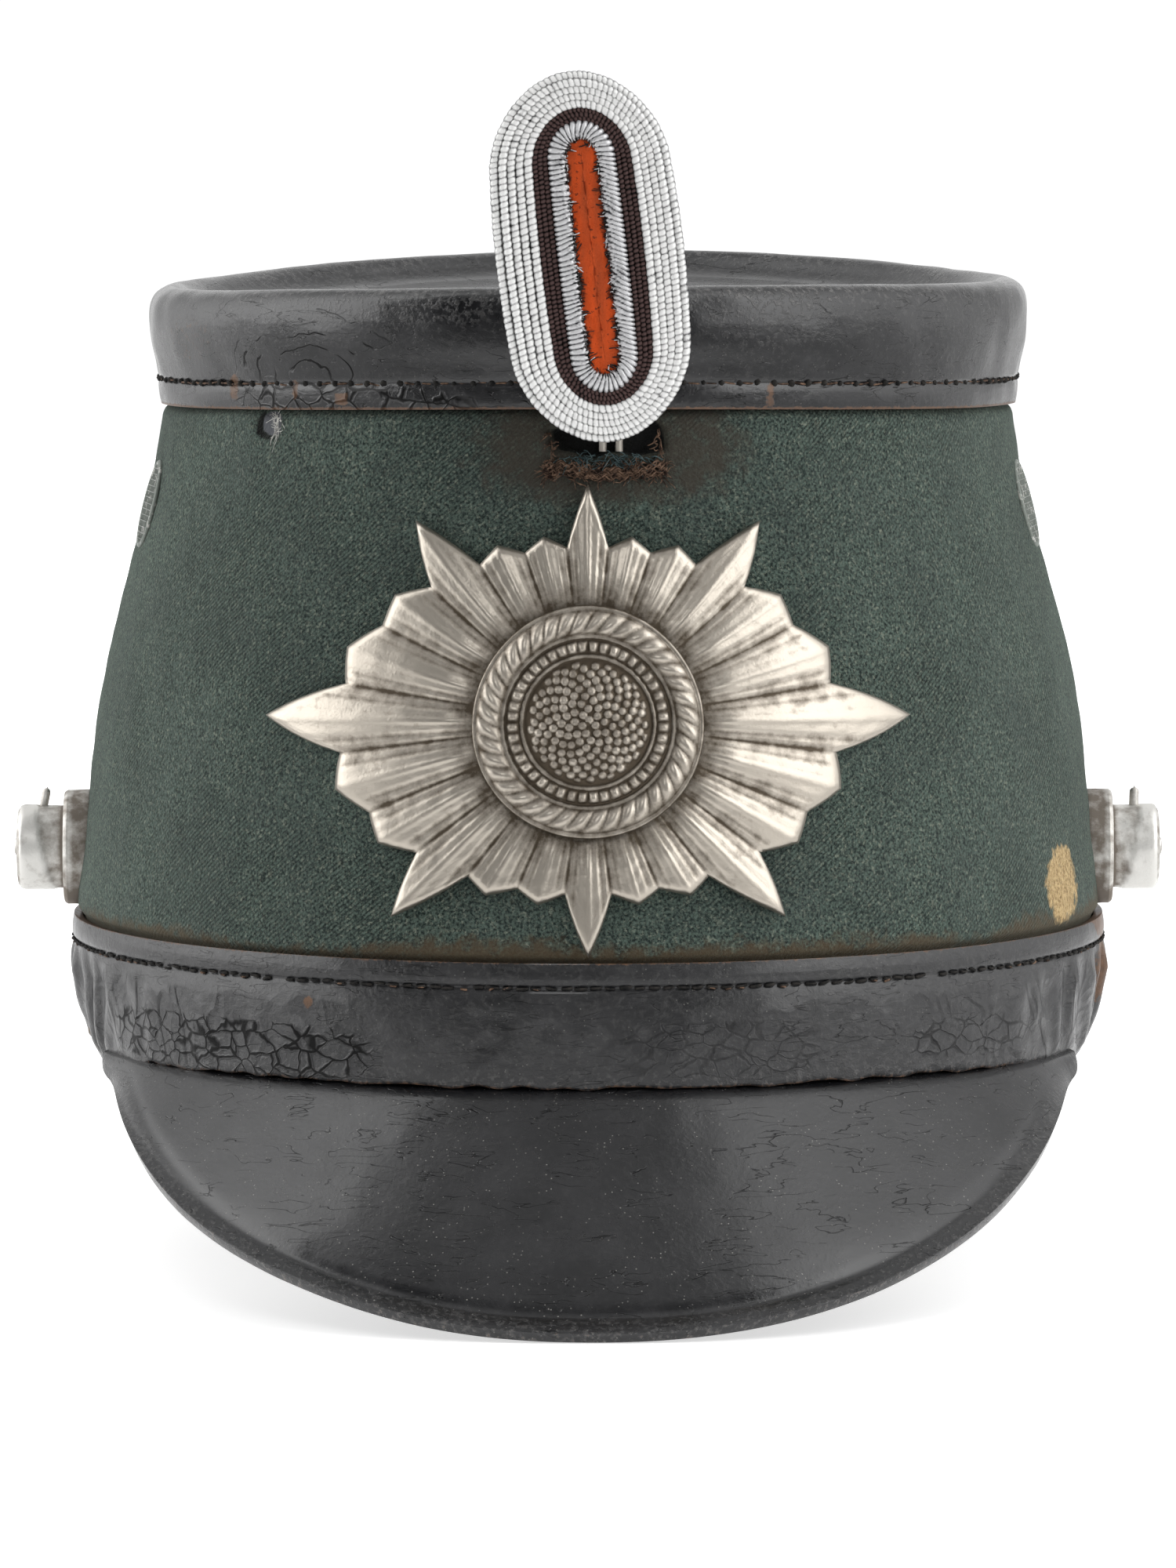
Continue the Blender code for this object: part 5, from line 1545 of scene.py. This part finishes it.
# %% [markdown]
# ## The camera
#
# The photograph looks almost level at the front from about two metres, with a long lens. The frame is
# 1500 by 2000 pixels, and a pixel is 0.132 mm at the cap's middle, so the lens follows from the sensor's
# long side.

# %% Camera
DISTANCE = 1.9
ELEVATION = math.radians(4.2)
PIXEL = 0.1320 * MM
FRAME_HEIGHT = 2000 * PIXEL
SENSOR = 36.0
TARGET = np.array((0.1 * MM, OVAL_Y, 77.5 * MM))
camera_data = bpy.data.cameras.new("camera")
camera = bpy.data.objects.new("camera", camera_data)
bpy.context.scene.collection.objects.link(camera)
camera.location = TARGET + DISTANCE * np.array((0.0, -math.cos(ELEVATION), math.sin(ELEVATION)))
camera.rotation_euler = (math.pi / 2 - ELEVATION, math.radians(0.05), 0.0)
camera_data.sensor_width = SENSOR
camera_data.lens = SENSOR * DISTANCE / FRAME_HEIGHT
camera_data.clip_start = 0.05
bpy.context.scene.camera = camera
print("lens", round(camera_data.lens, 1), "mm")

# %% [markdown]
# ## The light
#
# Polished leather shows the room: in the photograph, two bright walls stand beside the cap, and the dark
# room behind the camera lies between them. Large area lights could stand for the walls, but their edges
# would have to be placed one by one, so the walls are drawn into the world, where a formula gives the edges
# their slant and softness. One soft light in front, from the upper left, lifts the cloth and the metal.

# %% Soft light


def area_light(name, place, size, power):
    """A soft rectangular light that looks at the middle of the cap."""
    data = bpy.data.lights.new(name, "AREA")
    data.shape = "RECTANGLE"
    data.size, data.size_y = size
    data.energy = power
    light = bpy.data.objects.new(name, data)
    bpy.context.scene.collection.objects.link(light)
    light.location = place
    direction = light.location - light.location.__class__((0.0, 0.0, 0.09))
    light.rotation_euler = direction.to_track_quat("Z", "Y").to_euler()
    return light


area_light("front_soft", (-0.25, -1.7, 1.1), (0.5, 0.5), 6.0)
print("lights:", len(bpy.data.lights))

# %% Studio walls
# Strength of each wall against the compass: -1 is towards the viewer, 0 square to that, and 1 behind
LEFT_WALL = ((-1.0, 4.2), (0.0, 3.9), (0.30, 3.2), (0.50, 2.1), (0.73, 1.25), (0.87, 0.66), (0.95, 0.75),
             (0.98, 1.05))
RIGHT_WALL = ((-1.0, 4.1), (-0.55, 4.1), (-0.30, 3.2), (0.10, 1.8), (0.35, 1.5), (0.60, 1.02), (0.82, 0.50),
              (0.95, 0.70), (0.98, 1.05))
STRONGEST = 4.2


def studio_world():
    """White walls at the sides and behind, and a dark opening towards the viewer: polished surfaces show it
    as a dark middle between bright sides. A wall's strength follows y / hypot(x, y) along its table, and
    changes a little with the height. The opening ends where y + k |x| - 0.28 z passes 0, in a sharp edge on
    the left and a soft one on the right, and it is paler overhead."""
    world = bpy.data.worlds.new("studio")
    world.use_nodes = True
    room = Recipe(world.node_tree)

    def wall(way, rows):
        """A wall's strength, read from its table by a colour ramp."""
        strength = room.add("ValToRGB", {0: way})
        stops = strength.node.color_ramp.elements
        stops[1].position = (rows[-1][0] + 1) / 2
        for position, _ in rows[1:-1]:
            stops.new((position + 1) / 2)
        for stop, (_, value) in zip(stops, rows):
            stop.color = (value / STRONGEST, value / STRONGEST, value / STRONGEST, 1.0)
        return room.times(strength, STRONGEST)

    def step(value, low, high, to_low=0.0, to_high=1.0):
        """A smooth step from one value to another."""
        return room.spread(value, low, high, to_low, to_high, "SMOOTHSTEP")

    def blend(share, a, b):
        """a + share (b - a)."""
        return room.sum(room.times(room.sum(b, a, "SUBTRACT"), share), a)

    direction = room.add("TexCoord", {})
    level = room.add("VectorMath", {0: direction, 1: (1.0, 1.0, 0.0)}, operation="MULTIPLY")
    way = room.split(room.add("VectorMath", {0: level}, operation="NORMALIZE"))[1]
    way = room.times(room.sum(way, 1.0), 0.5)
    x, y, z = room.split(direction)
    across = room.sum(x, 0.0, "ABSOLUTE")
    behind = room.sum(y, room.times(z, -0.28))
    left = step(room.sum(behind, room.times(across, 0.49)), -0.04, 0.04)
    right = step(room.sum(behind, room.times(across, 1.12)), -0.16, 0.14)
    opening = step(z, 0.72, 0.97, 0.05, 0.68)
    left = blend(left, opening, room.times(wall(way, LEFT_WALL), step(z, 0.2, 0.8, 1.0, 0.94)))
    right = blend(right, opening, room.times(wall(way, RIGHT_WALL), step(z, 0.2, 0.8, 1.0, 1.24)))
    background = world.node_tree.nodes["Background"]
    room.put(background, "Strength", blend(step(x, -0.05, 0.05), left, right))
    room.put(background, "Color", (1.0, 1.0, 1.0))
    bpy.context.scene.world = world
    return world


print("world:", studio_world().name)

# %% [markdown]
# ## The floor
#
# The photograph has no floor at all, only white paper with a faint shadow under the peak. A pale disc that
# glows a little does the same.

# %% Floor


def floor_finish():
    """Pale paper that glows. It darkens well in front of the cap and to its sides, where the camera doesn't
    look, so that the leather doesn't mirror it."""
    paper = Finish("pale_floor", Roughness=0.9, Emission_Strength=1.0)
    x, y, _ = paper.split(paper.place)
    near_by = paper.spread(y, -0.52, -0.41, easing="SMOOTHSTEP")
    aside = paper.sum(paper.sum(x, 0.0, "ABSOLUTE"), paper.times(y, -0.05))
    near_by = paper.times(near_by, paper.spread(aside, 0.15, 0.42, 1.0, 0.45, "SMOOTHSTEP"))
    white = paper.mix(near_by, (0.14, 0.14, 0.14), (0.72, 0.72, 0.72))
    glow = paper.mix(near_by, (0.0, 0.0, 0.0), (0.60, 0.60, 0.60))
    return paper.finish(Base_Color=white, Emission_Color=glow)


def build_floor():
    """A disc of two rings and a fan, just under the peaks' lips."""
    count = 96
    depth = -0.2 * MM
    around = np.linspace(0, 2 * math.pi, count, endpoint=False)[None, :]
    radius = np.array((1.2, 3.0))[:, None]
    rings = np.stack((radius * np.cos(around), radius * np.sin(around), depth + 0 * radius * around), -1)
    ring = np.arange(count)
    fan = np.stack((ring, (ring + 1) % count, np.full(count, 2 * count)), -1)
    faces = grid_faces(2, count)[:, ::-1].tolist() + fan.tolist()
    mesh = bpy.data.meshes.new("floor")
    mesh.from_pydata(rings.reshape(-1, 3).tolist() + [(0.0, 0.0, depth)], [], faces)
    floor = bpy.data.objects.new("floor", mesh)
    bpy.context.scene.collection.objects.link(floor)
    floor.data.materials.append(floor_finish())


build_floor()
bpy.context.scene.view_settings.view_transform = "Standard"
print("floor made")
